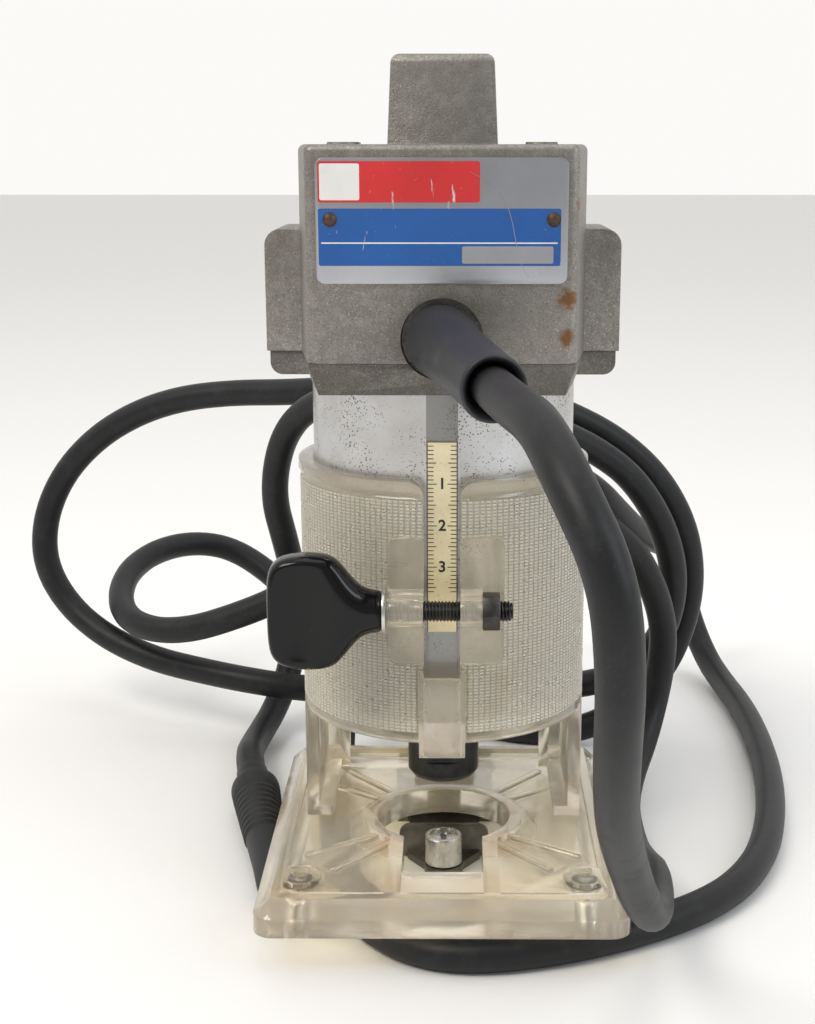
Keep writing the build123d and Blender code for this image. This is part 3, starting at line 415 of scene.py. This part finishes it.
def all_materials():
    zinc = steel("zinc_steel", (0.50, 0.49, 0.46), (0.68, 0.68, 0.66), 0.28)
    return {
        "clear_plastic": clear_plastic("clear_plastic", 0.17, STAINS_PLATE + STAINS_COLLAR),
        "motor_tube": motor_tube(),
        "cast_aluminium": cast_aluminium("cast_aluminium"),
        # the head's flange faces down, so it takes a darker copy of the cast skin as painted shade
        "cast_flange_painted_shade": cast_aluminium("cast_flange_painted_shade", 0.62),
        "nameplate_metal": printed("nameplate_metal", (0.46, 0.47, 0.50), 0.85),
        "scale": scale_label(),
        "lamination": laminated(),
        "copper_wire": enamelled("copper_wire", (0.50, 0.20, 0.08)),
        "copper_bar": steel("copper_bar", (0.50, 0.27, 0.16), (0.74, 0.43, 0.28), 0.25),
        "bearing_steel": steel("bearing_steel", (0.62, 0.62, 0.62), (0.78, 0.78, 0.78), 0.18),
        "zinc_steel": zinc,
        "guide_steel": steel("guide_steel", (0.13, 0.122, 0.11), (0.23, 0.22, 0.20), 0.42, rust=0.03),
        "shaft_steel": steel("shaft_steel", (0.52, 0.52, 0.52), (0.70, 0.70, 0.70), 0.22),
        "blackened_steel": steel("blackened_steel", (0.018, 0.018, 0.019), (0.050, 0.050, 0.050), 0.36,
                                 metallic=0.8),
        "spring_steel": steel("spring_steel", (0.45, 0.45, 0.45), (0.62, 0.62, 0.62), 0.25),
        "chrome": steel("chrome", (0.78, 0.78, 0.79), (0.88, 0.88, 0.89), 0.12),
        "brass": steel("brass", (0.58, 0.47, 0.26), (0.74, 0.62, 0.38), 0.24),
        "carbon": moulded("carbon", (0.030, 0.030, 0.032), 0.45),
        "black_phenolic": moulded("black_phenolic", (0.022, 0.020, 0.019), 0.34),
        "fan_plastic": moulded("fan_plastic", (0.03, 0.035, 0.04), 0.4),
        "black_gloss_plastic": gloss_black(),
        "boot_rubber": rubber("boot_rubber", (0.022, 0.023, 0.028), (0.056, 0.055, 0.056), 0.46),
        "cord_rubber": rubber("cord_rubber", (0.010, 0.0105, 0.0115), (0.028, 0.029, 0.031), 0.46),
        "plug_rubber": rubber("plug_rubber", (0.012, 0.0125, 0.013), (0.032, 0.032, 0.033), 0.52),
        "dark_thread": steel("dark_thread", (0.05, 0.048, 0.045), (0.12, 0.115, 0.105), 0.38),
        "red_ink": printed("red_ink", (0.62, 0.028, 0.030)),
        "blue_ink": printed("blue_ink", (0.013, 0.100, 0.36)),
        "white_ink": printed("white_ink", (0.78, 0.78, 0.76)),
        "rusty_rivet": steel("rusty_rivet", (0.050, 0.030, 0.018), (0.125, 0.078, 0.048), 0.48,
                             metallic=0.7),
        "black_ink": plain_material("black_ink", (0.012, 0.012, 0.012), roughness=0.5),
    }


# ---- mesh helpers -------------------------------------------------------------------
def add_piece(name, mesh, body, slot, material=None, replaces=()):
    """A piece in the row frame that rides on a body and takes a slot's material."""
    piece = bpy.data.objects.new(name, mesh)
    bpy.context.scene.collection.objects.link(piece)
    mesh.materials.clear()
    mesh.materials.append(MATERIALS[material or slot])
    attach(piece, body)
    if replaces:
        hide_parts(*replaces)
    return piece


def baked(piece):
    """The piece's mesh with its modifiers applied."""
    graph = bpy.context.evaluated_depsgraph_get()
    mesh = bpy.data.meshes.new_from_object(piece.evaluated_get(graph))
    piece.modifiers.clear()
    piece.data = mesh
    return piece


def smooth_by_angle(mesh, limit):
    """Smooth shading, with edges sharper than limit degrees kept sharp."""
    bm = bmesh.new()
    bm.from_mesh(mesh)
    for face in bm.faces:
        face.smooth = True
    for edge in bm.edges:
        edge.smooth = len(edge.link_faces) == 2 and edge.calc_face_angle(0.0) < radians(limit)
    bm.to_mesh(mesh)
    bm.free()


def mesh_from(name, points, faces, limit=35.0):
    """A closed mesh from points in millimetres."""
    mesh = bpy.data.meshes.new(name)
    mesh.from_pydata([(x * MM, y * MM, z * MM) for x, y, z in points], [], faces)
    bm = bmesh.new()
    bm.from_mesh(mesh)
    bmesh.ops.recalc_face_normals(bm, faces=bm.faces)
    bm.to_mesh(mesh)
    bm.free()
    smooth_by_angle(mesh, limit)
    return mesh


def tube_faces(rings, across):
    """Faces of a closed skin over rings of points, with a cap over each end."""
    faces = []
    for i in range(rings - 1):
        for j in range(across):
            k = (j + 1) % across
            faces.append((i * across + j, i * across + k, (i + 1) * across + k, (i + 1) * across + j))
    faces.append(tuple(range(across)))
    faces.append(tuple(reversed(range((rings - 1) * across, rings * across))))
    return faces


def lathe(name, profile, origin, along, across=48, limit=35.0, shape=None):
    """Turns (distance along the axis, radius) pairs about an axis. shape can vary the radius by angle."""
    axis = Vector(along).normalized()
    side = axis.orthogonal().normalized()
    if abs(axis.z) < 0.9:
        side = (Vector((0, 0, 1)) - axis * axis.z).normalized()
    other = axis.cross(side)
    points = []
    for t, r in profile:
        for j in range(across):
            a = tau * j / across
            radius = r if shape is None else shape(t, r, a)
            spoke = side * (radius * cos(a)) + other * (radius * sin(a))
            points.append(tuple(Vector(origin) + axis * t + spoke))
    return mesh_from(name, points, tube_faces(len(profile), across), limit)


def slab(name, x0, x1, y0, y1, z0, z1, corner=0.0, steps=5):
    """Thin plate facing -Y with rounded corners, as one closed mesh."""
    outline = []
    r = max(corner, 0.01)
    corners = ((x1 - r, z1 - r, 0), (x0 + r, z1 - r, 90), (x0 + r, z0 + r, 180), (x1 - r, z0 + r, 270))
    for cx, cz, start in corners:
        for i in range(steps + 1):
            a = radians(start + 90.0 * i / steps)
            outline.append((cx + r * cos(a), cz + r * sin(a)))
    count = len(outline)
    points = [(x, y0, z) for x, z in outline] + [(x, y1, z) for x, z in outline]
    return mesh_from(name, points, tube_faces(2, count), 30.0)


def softened(node, width, segments=2, limit=28.0, name=None, material=None):
    """A copy of a CAD node with its machined edges broken, which stands for the node."""
    mesh = NODES[node].data.copy()
    bm = bmesh.new()
    bm.from_mesh(mesh)
    bmesh.ops.remove_doubles(bm, verts=bm.verts, dist=2e-6)
    bmesh.ops.dissolve_limit(bm, angle_limit=radians(0.6), verts=bm.verts, edges=bm.edges)
    bm.to_mesh(mesh)
    bm.free()
    piece = add_piece(name or node + "_finished", mesh, BODY_OF[node], SLOT_OF[node], material, (node,))
    bevel = piece.modifiers.new("edges", "BEVEL")
    bevel.width = width * MM
    bevel.segments = segments
    bevel.limit_method = "ANGLE"
    bevel.angle_limit = radians(limit)
    bevel.use_clamp_overlap = True
    bevel.miter_outer = "MITER_ARC"
    baked(piece)
    smooth_by_angle(piece.data, 32.0)
    return piece


# ---- cord, boot and plug ------------------------------------------------------------
BOOT_ROOT, BOOT_TIP = Vector((-0.5, -36.0, 148.9)), Vector((10.6, -96.0, 146.7))
BOOT_AXIS = (BOOT_TIP - BOOT_ROOT).normalized()
BOOT_MOUTH = 5.0
PLUG_ENTRY, PLUG_END = Vector((-58.2, 54.0, 7.9)), Vector((-43.5, -18.0, 4.65))
CORD_D = 8.6
ROUTE = [tuple(BOOT_TIP - BOOT_AXIS * BOOT_MOUTH),
         # forward out of the boot, over and down in front of the base
         (13.69, -112.7, 146.09), (17.5, -128, 145.6), (22, -143, 138), (28.5, -151, 124.5),
         (30.3, -150, 108), (31, -140, 91), (33, -122, 71), (37.5, -100, 52), (43, -81, 34),
         (48, -65, 21.5), (51.4, -48, 16.6), (52.5, -31, 16.3), (52.6, -13, 9.8), (52.1, 6, 4.8),
         (51.9, 24, 4.3), (52.9, 40, 4.6), (55.9, 54, 7.4),
         # first turn, then down behind the motor
         (60.8, 65.5, 13.6), (64.6, 73, 23.5), (67.1, 75.5, 36), (67, 73.5, 49), (62.8, 70, 62.5),
         (55, 66, 76), (42, 62, 85.5), (22, 61, 90), (3, 66, 86), (-13, 74, 75), (-23, 81, 60),
         (-29, 86.5, 42), (-31.5, 84.5, 26.5), (-32.6, 74.5, 13.5), (-32, 61, 5.7), (-31, 45, 4.3),
         (-30.3, 27, 4.4),
         # under the base from back to front
         (-29.3, 8, 4.3), (-27.3, -10, 4.3), (-23, -26, 4.3), (-15.5, -40, 4.3), (-4.5, -49.3, 4.3),
         (9, -51.6, 4.3), (25, -48.2, 4.3), (40, -42.3, 4.3),
         # round the right side on the table and up behind the turns
         (54, -34.5, 4.3), (67.5, -24.5, 4.3), (78.8, -11, 4.3), (87.8, 8, 4.3), (94, 31, 4.3),
         (98.5, 57, 4.3), (101, 84, 4.3), (101.6, 111, 4.3), (100.8, 131, 4.3), (98.8, 149, 4.6),
         (95.6, 163.5, 8), (91.5, 173.5, 17.5), (87.8, 177, 30.5), (83.8, 173, 43.5),
         (78.6, 162, 52), (72, 147, 57.5), (64.5, 132, 64.5), (56.3, 117.5, 74.5), (48, 104, 85),
         (36, 93, 93.5),
         # small loop at the left
         (18, 85.5, 97), (-2, 84, 92.5), (-20, 87, 80), (-34.5, 89.5, 66), (-46, 90, 56),
         (-56.7, 91.5, 50), (-68.4, 93.5, 44.9), (-81.5, 97, 39.9), (-94.5, 102.5, 37.5),
         (-105.5, 112, 38.3), (-111.5, 126, 41.5), (-111.8, 142, 46.5), (-105.5, 157.5, 50),
         (-94, 168.5, 51), (-80, 172, 48.5), (-65.5, 168, 40.5), (-50.5, 159.5, 28),
         (-35, 147, 15.5), (-19, 131, 7.4), (-3, 115.5, 4.6), (14, 104.5, 4.3),
         # second turn
         (30, 98.5, 4.3), (46, 98, 5.6), (60.7, 102, 12.6), (71.5, 105.5, 23.7), (77.3, 106, 37),
         (79.6, 105, 50.3), (79, 103.5, 62.5), (75.9, 102, 74), (70.3, 100.5, 84.7), (62.9, 99, 94),
         (52.4, 97.5, 102.7), (39.6, 96, 109.7), (27, 92, 114.9), (13.5, 88.5, 118),
         (-3.3, 88.5, 119.5), (-20.4, 94, 118.5),
         # big loop at the left
         (-36.5, 104.5, 116.5), (-52, 113, 114.5), (-69, 121, 113.2), (-87, 127, 110.5),
         (-103, 131.5, 105), (-118, 134.5, 96), (-130.5, 136, 83), (-137.5, 135, 67.5),
         (-137.5, 131.5, 52.5), (-129.5, 128, 39), (-116, 122, 29.5), (-98.5, 114.5, 24),
         (-80.8, 107, 22.3), (-63.3, 101, 20.8), (-46, 101, 18.2), (-28.5, 103, 16.8),
         (-8, 105.3, 16.4), (13, 106.5, 16.3), (33, 105.5, 17.3),
         # third turn
         (49.5, 101, 20.5), (61, 95.5, 28), (68, 91, 38.5), (71.4, 88.5, 50), (71.6, 87.5, 61.5),
         (68.8, 86.5, 73), (63.5, 85, 84), (55.5, 83, 94.5), (44.8, 80, 102.4), (33.6, 75.5, 108.4),
         (19, 71, 113.8), (2, 69, 117.4), (-16, 72, 119.6), (-31.5, 80, 118.5),
         # down at the left to the plug
         (-43, 90, 113), (-50.3, 96.5, 104), (-54, 100, 92.5), (-54.8, 102, 81), (-52.5, 104, 70),
         (-50.7, 107, 60), (-50, 113.4, 50.3), (-50.3, 120.6, 40), (-51.6, 122.9, 27.6),
         (-54, 118.4, 15.8), (-57.6, 107.5, 8), (-60.6, 94, 5.2), (-61.6, 79.5, 5.9),
         (-60.46, 65.06, 8.4),
         tuple(PLUG_ENTRY)]


def power_cord():
    data = bpy.data.curves.new("power_cord", "CURVE")
    data.dimensions = "3D"
    spline = data.splines.new("NURBS")
    spline.points.add(len(ROUTE) - 1)
    for point, place in zip(spline.points, ROUTE):
        point.co = (*(c * MM for c in place), 1.0)
    spline.order_u = 3
    spline.use_endpoint_u = True
    spline.resolution_u = 6
    data.bevel_depth = CORD_D / 2 * MM
    data.bevel_resolution = 6
    data.use_fill_caps = True
    data.materials.append(MATERIALS["cord_rubber"])
    cord = bpy.data.objects.new("power_cord", data)
    bpy.context.scene.collection.objects.link(cord)
    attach(cord, "motor")
    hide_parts("cord_1", "cord_2", "cord_3", "cord_4")
    return cord


def strain_relief():
    """Tapered boot with a rolled lip, seated in the round recess of the head."""
    length = (BOOT_TIP - BOOT_ROOT).length
    outside = [(-0.1, 7.6), (0.6, 8.15), (3.0, 8.25), (7.0, 8.1), (14.0, 7.6), (22.0, 7.2), (30.0, 7.0),
               (38.0, 6.9), (length - 12.0, 6.8), (length - 6.0, 6.75), (length - 2.6, 6.85),
               (length - 1.2, 6.85), (length - 0.35, 6.6), (length, 6.2), (length - 0.1, 5.9),
               (length - 0.5, 5.5), (length - 1.6, 5.2), (length - 3.5, 4.9),
               (length - BOOT_MOUTH - 0.4, 4.7)]

    def worn(t, r, a):
        return r * (1.0 + 0.012 * sin(2 * a + 0.4) + 0.006 * sin(3 * a + t * 0.11))
    mesh = lathe("strain_relief", outside, BOOT_ROOT, BOOT_AXIS, 64, 50.0, worn)
    boot = add_piece("strain_relief", mesh, "motor", "boot_rubber", None, ("cord_boot",))
    refine(boot, 1)
    return boot


def refine(piece, levels):
    """Catmull-Clark subdivision, applied."""
    fine = piece.modifiers.new("fine", "SUBSURF")
    fine.levels = fine.render_levels = levels
    return baked(piece)


def plug():
    """Moulded plug: neck round the cord, wide shoulder, ribbed grip, then a slimmer front end."""
    length = (PLUG_END - PLUG_ENTRY).length
    profile = [(0.05, 3.9), (0.1, 4.4), (0.8, 4.65), (5.0, 4.75), (9.4, 4.9), (10.4, 5.5), (11.4, 6.5),
               (12.6, 7.1), (14.0, 7.15), (19.5, 6.95)]
    for i in range(8):
        t, r = 20.6 + 3.0 * i, 6.55 - 0.15 * i
        profile += [(t, r - 0.35), (t + 0.4, r + 0.05), (t + 0.8, r + 0.25), (t + 1.7, r + 0.25),
                    (t + 2.1, r + 0.05), (t + 2.5, r - 0.35)]
    profile += [(45.6, 5.25), (60.0, 4.6), (length - 1.6, 4.4), (length - 0.4, 4.1),
                (length - 0.02, 3.7), (length - 0.02, 1.5)]
    mesh = lathe("plug_grip", profile, PLUG_ENTRY, PLUG_END - PLUG_ENTRY, 48, 60.0)
    return add_piece("plug_grip", mesh, "motor", "plug_rubber", None, ("plug_body",))


# ---- clear base ---------------------------------------------------------------------
def grip_panel(side):
    """A band of small moulded bricks round one side of the collar, as a closed shell."""
    columns, rows = (2 * count for count in grip_counts())
    points, faces = [], []
    for i in range(rows + 1):
        z = GRIP_Z0 + (GRIP_Z1 - GRIP_Z0) * i / rows
        for j in range(columns + 1):
            a = radians(GRIP_FROM + (GRIP_TO - GRIP_FROM) * j / columns)
            raised = 0.34 if i % 2 and j % 2 else 0.06
            r = COLLAR_R + raised
            points.append((side * r * sin(a), -r * cos(a), z))
    wide = columns + 1
    for i in range(rows):
        for j in range(columns):
            k = i * wide + j
            centre_first = (i % 2) == (j % 2)
            a, b, c, d = k, k + 1, k + wide + 1, k + wide
            faces += [(a, b, c), (a, c, d)] if centre_first else [(a, b, d), (b, c, d)]
    back = len(points)
    for z in (GRIP_Z0, GRIP_Z1):
        for j in range(wide):
            a = radians(GRIP_FROM + (GRIP_TO - GRIP_FROM) * j / columns)
            r = COLLAR_R - 0.6
            points.append((side * r * sin(a), -r * cos(a), z))
    top = rows * wide
    for j in range(columns):
        faces.append((back + j, back + j + 1, back + wide + j + 1, back + wide + j))
        faces.append((j, j + 1, back + j + 1, back + j))
        faces.append((top + j, top + j + 1, back + wide + j + 1, back + wide + j))
    for edge in (0, columns):
        faces.append(tuple(i * wide + edge for i in range(rows + 1)) + (back + wide + edge, back + edge))
    return mesh_from("grip_panel", points, faces, 180.0)


def clear_base():
    softened("base_plate", 0.45, 3, name="clear_plate")
    collar = softened("base_collar", 0.25, 2, name="clear_collar")
    for side in (-1, 1):
        cutter = bpy.data.objects.new("grip", grip_panel(side))
        bpy.context.scene.collection.objects.link(cutter)
        join = collar.modifiers.new("grip", "BOOLEAN")
        join.operation = "UNION"
        join.solver = "EXACT"
        join.object = cutter
        baked(collar)
        bpy.data.objects.remove(cutter)
    softened("base_inserts", 0.15, 2)


# ---- collar clamp -------------------------------------------------------------------
CLAMP_Y, CLAMP_Z = -43.0, 87.3


def thread(name, x0, x1, radius, pitch, depth, across=28):
    """Threaded rod along X: the radius follows a rounded V that winds with the angle."""
    steps = round((x1 - x0) / pitch * 6)
    points = []
    for i in range(steps + 1):
        x = x0 + (x1 - x0) * i / steps
        fade = min(1.0, (x1 - x) / 0.9, (x - x0) / 0.9)
        for j in range(across):
            a = tau * j / across
            phase = (x / pitch - j / across) % 1.0
            ridge = abs(2.0 * phase - 1.0)
            r = radius - depth * (1.0 - min(ridge * 1.15, 1.0)) - (1.0 - fade) * 0.5
            points.append((x, CLAMP_Y + r * cos(a), CLAMP_Z + r * sin(a)))
    return mesh_from(name, points, tube_faces(steps + 1, across), 50.0)


def clamp():
    rod = thread("clamp_thread", -13.7, 16.4, 2.44, 0.8, 0.45)
    add_piece("clamp_thread", rod, "clamp", "zinc_steel", "dark_thread", ("clamp_screw",))
    add_piece("wing_knob", wing_knob(), "clamp", "black_gloss_plastic", None, ("clamp_knob",))
    softened("clamp_nut", 0.3, 2, material="dark_thread")
    softened("clamp_washer", 0.12, 2)


def wing_knob():
    """Moulded wing: a round neck that widens into a thick dished pad with a soft rim."""
    # x, half height along Z, half thickness along Y, squareness, depth of the dish
    stations = [(-14.7, 4.3, 4.3, 2.0, 0.0), (-14.9, 4.85, 4.85, 2.0, 0.0), (-17.5, 5.1, 5.0, 2.0, 0.0),
                (-19.5, 5.9, 5.1, 2.1, 0.0), (-21.5, 7.9, 5.2, 2.3, 0.0), (-23.5, 10.6, 5.25, 2.5, 0.0),
                (-25.2, 12.4, 5.3, 2.8, 0.15), (-26.8, 13.2, 5.35, 3.2, 0.7), (-29.0, 13.6, 5.35, 3.6, 1.6),
                (-32.0, 13.7, 5.3, 4.0, 2.2), (-35.0, 13.5, 5.25, 4.0, 2.3), (-37.6, 12.9, 5.2, 3.8, 1.8),
                (-39.4, 11.8, 5.0, 3.4, 0.9), (-40.4, 10.4, 4.5, 3.0, 0.2), (-41.0, 8.4, 3.4, 2.6, 0.0),
                (-41.1, 4.0, 1.5, 2.2, 0.0)]
    across = 48
    points = []
    for x, half_z, half_y, square, dish in stations:
        for j in range(across):
            a = tau * j / across
            c, s = cos(a), sin(a)
            y = half_y * abs(s) ** (2.0 / square) * (1 if s > 0 else -1)
            z = half_z * abs(c) ** (2.0 / square) * (1 if c > 0 else -1)
            hollow = max(0.0, 1.0 - (z / (half_z * 0.86)) ** 2) ** 0.6 * dish
            y -= hollow * (1 if s > 0 else -1) * min(1.0, abs(s) * 1.6)
            points.append((x + 0.9, CLAMP_Y + y, CLAMP_Z + z))
    mesh = mesh_from("wing_knob", points, tube_faces(len(stations), across), 80.0)
    knob = bpy.data.objects.new("wing_knob_draft", mesh)
    bpy.context.scene.collection.objects.link(knob)
    mesh = refine(knob, 1).data
    bpy.data.objects.remove(knob)
    smooth_by_angle(mesh, 80.0)
    return mesh


# ---- motor, scale and head ----------------------------------------------------------
FACE_Y = -36.0
PLATE_FACE_Y = FACE_Y - 0.6


def depth_scale():
    """Label with millimetre ticks down both edges and a numeral each centimetre."""
    softened("scale_strip", 0.05, 1)
    ticks, faces = [], []
    front, back = -32.42, -32.33
    zero = 125.0

    def bar(x0, x1, z, half):
        n = len(ticks)
        for y in (front, back):
            ticks.extend([(x0, y, z - half), (x1, y, z - half), (x1, y, z + half), (x0, y, z + half)])
        faces.extend(tuple(n + k for k in f) for f in ((0, 1, 2, 3), (7, 6, 5, 4), (0, 4, 5, 1), (1, 5, 6, 2),
                                                       (2, 6, 7, 3), (3, 7, 4, 0)))
    for step in range(1, 37):
        z = zero - step
        length = 2.1 if step % 10 == 0 else 1.9 if step % 5 == 0 else 1.35
        bar(-3.35, -3.35 + length, z, 0.085)
        bar(3.35 - length, 3.35, z, 0.085)
    for x0, x1 in ((-3.5, -3.38), (3.38, 3.5)):
        bar(x0, x1, 102.0, 23.0)
    bar(-3.5, 3.5, 124.93, 0.07)
    add_piece("scale_ticks", mesh_from("scale_ticks", ticks, faces), "motor", "scale", "black_ink")
    for number in (1, 2, 3):
        text = bpy.data.curves.new(f"numeral_{number}", "FONT")
        text.body = str(number)
        text.size = 3.7 * MM
        text.extrude = 0.045 * MM
        text.align_x, text.align_y = "CENTER", "CENTER"
        text.offset = 0.00007
        draft = bpy.data.objects.new("draft", text)
        draft.rotation_euler = (pi / 2, 0, 0)
        draft.location = (0, -32.38 * MM, (zero - 10 * number) * MM)
        bpy.context.scene.collection.objects.link(draft)
        bpy.context.view_layer.update()
        mesh = bpy.data.meshes.new_from_object(draft.evaluated_get(bpy.context.evaluated_depsgraph_get()))
        mesh.transform(draft.matrix_world)
        bpy.data.objects.remove(draft)
        add_piece(f"scale_numeral_{number}", mesh, "motor", "scale", "black_ink")


def field(name, x0, x1, z0, z1, ink, corner=0.6, lift=0.05):
    """A printed area on the nameplate."""
    mesh = slab(name, x0, x1, PLATE_FACE_Y - lift, PLATE_FACE_Y + 0.02, z0, z1, corner)
    add_piece(name, mesh, "motor", "nameplate_metal", ink)


def nameplate():
    softened("nameplate", 0.15, 2)
    softened("nameplate_rivets", 0.1, 2, material="rusty_rivet")
    field("plate_block_upper", -27.4, 8.4, 179.3, 188.2, "red_ink", 0.5)
    field("plate_block_middle", -27.4, 26.4, 165.5, 178.0, "blue_ink", 0.5)
    field("plate_rule_middle", -26.8, 25.7, 170.35, 170.65, "white_ink", 0.1, 0.07)
    field("plate_field_serial", 4.5, 24.8, 166.0, 169.8, "nameplate_metal", 0.4, 0.09)
    field("plate_square", -27.0, -18.2, 179.8, 187.7, "white_ink", 0.4, 0.08)
    scratch("plate_scratch", ((6.2, 185.9), (9.6, 184.2), (12.5, 181.9), (14.4, 179.0), (15.6, 175.0),
                              (16.4, 171.0), (17.1, 167.1), (18.3, 164.6), (19.7, 162.6)))


def scratch(name, line):
    """A thin bright line worn through the print, in (x, z)."""
    points, faces = [], []
    for i, (x, z) in enumerate(line):
        before, after = line[max(i - 1, 0)], line[min(i + 1, len(line) - 1)]
        along = Vector((after[0] - before[0], after[1] - before[1])).normalized()
        half = 0.02 + 0.05 * sin(pi * (i + 0.5) / len(line))
        for y in (PLATE_FACE_Y - 0.12, PLATE_FACE_Y + 0.02):
            across, down = along.y * half, along.x * half
            points += [(x + across, y, z - down), (x - across, y, z + down)]
    for i in range(len(line) - 1):
        a, b = 4 * i, 4 * i + 4
        faces += [(a, b, b + 1, a + 1), (a + 2, a + 3, b + 3, b + 2),
                  (a, a + 2, b + 2, b), (a + 1, b + 1, b + 3, a + 3)]
    end = 4 * (len(line) - 1)
    faces += [(0, 1, 3, 2), (end, end + 2, end + 3, end + 1)]
    add_piece(name, mesh_from(name, points, faces), "motor", "nameplate_metal", "nameplate_metal")


# node, bevel width, bevel segments, material where it isn't the slot's own
FINISHED = (("head_cover", 0.5, 3, None), ("cover_screws", 0.15, 1, None), ("brush_caps", 0.3, 2, None),
            ("collet_nut", 0.35, 2, None), ("guide_arm", 0.3, 2, None), ("guide_holder", 0.4, 2, None),
            ("guide_rivet", 0.1, 1, None), ("roller_pin", 0.2, 2, None),
            ("guide_thumb_screw", 0.25, 2, None), ("switch_bushing", 0.2, 1, None),
            # head_flange wears the darker painted-shade copy of the cast aluminium
            ("plug_blades", 0.25, 2, None), ("head_flange", 0.4, 2, "cast_flange_painted_shade"))


def brush_springs():
    """Smooth-shaded copies of the brush springs, which stand for their CAD nodes on the motor."""
    for side, sign in (("left", -1), ("right", 1)):
        node = f"brush_spring_{side}"
        mesh = NODES[node].data.copy()
        spring = add_piece(node + "_coil", mesh, "motor", "spring_steel", None, (node,))
        smooth_by_angle(mesh, 32.0)
        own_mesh(spring)


def finish_nodes():
    """Materials for the CAD nodes that show as they are."""
    for name, node in NODES.items():
        if not node.hide_render:
            node.data.materials.clear()
            node.data.materials.append(MATERIALS[SLOT_OF[name]])
            smooth_by_angle(node.data, 32.0)


# ---- build --------------------------------------------------------------------------
MATERIALS = all_materials()
camera()
studio()
floor()
cord = power_cord()
boot = strain_relief()
grip = plug()
for part, width, segments, finish in FINISHED:
    softened(part, width, segments, material=finish)
clear_base()
clamp()
depth_scale()
nameplate()
brush_springs()
finish_nodes()
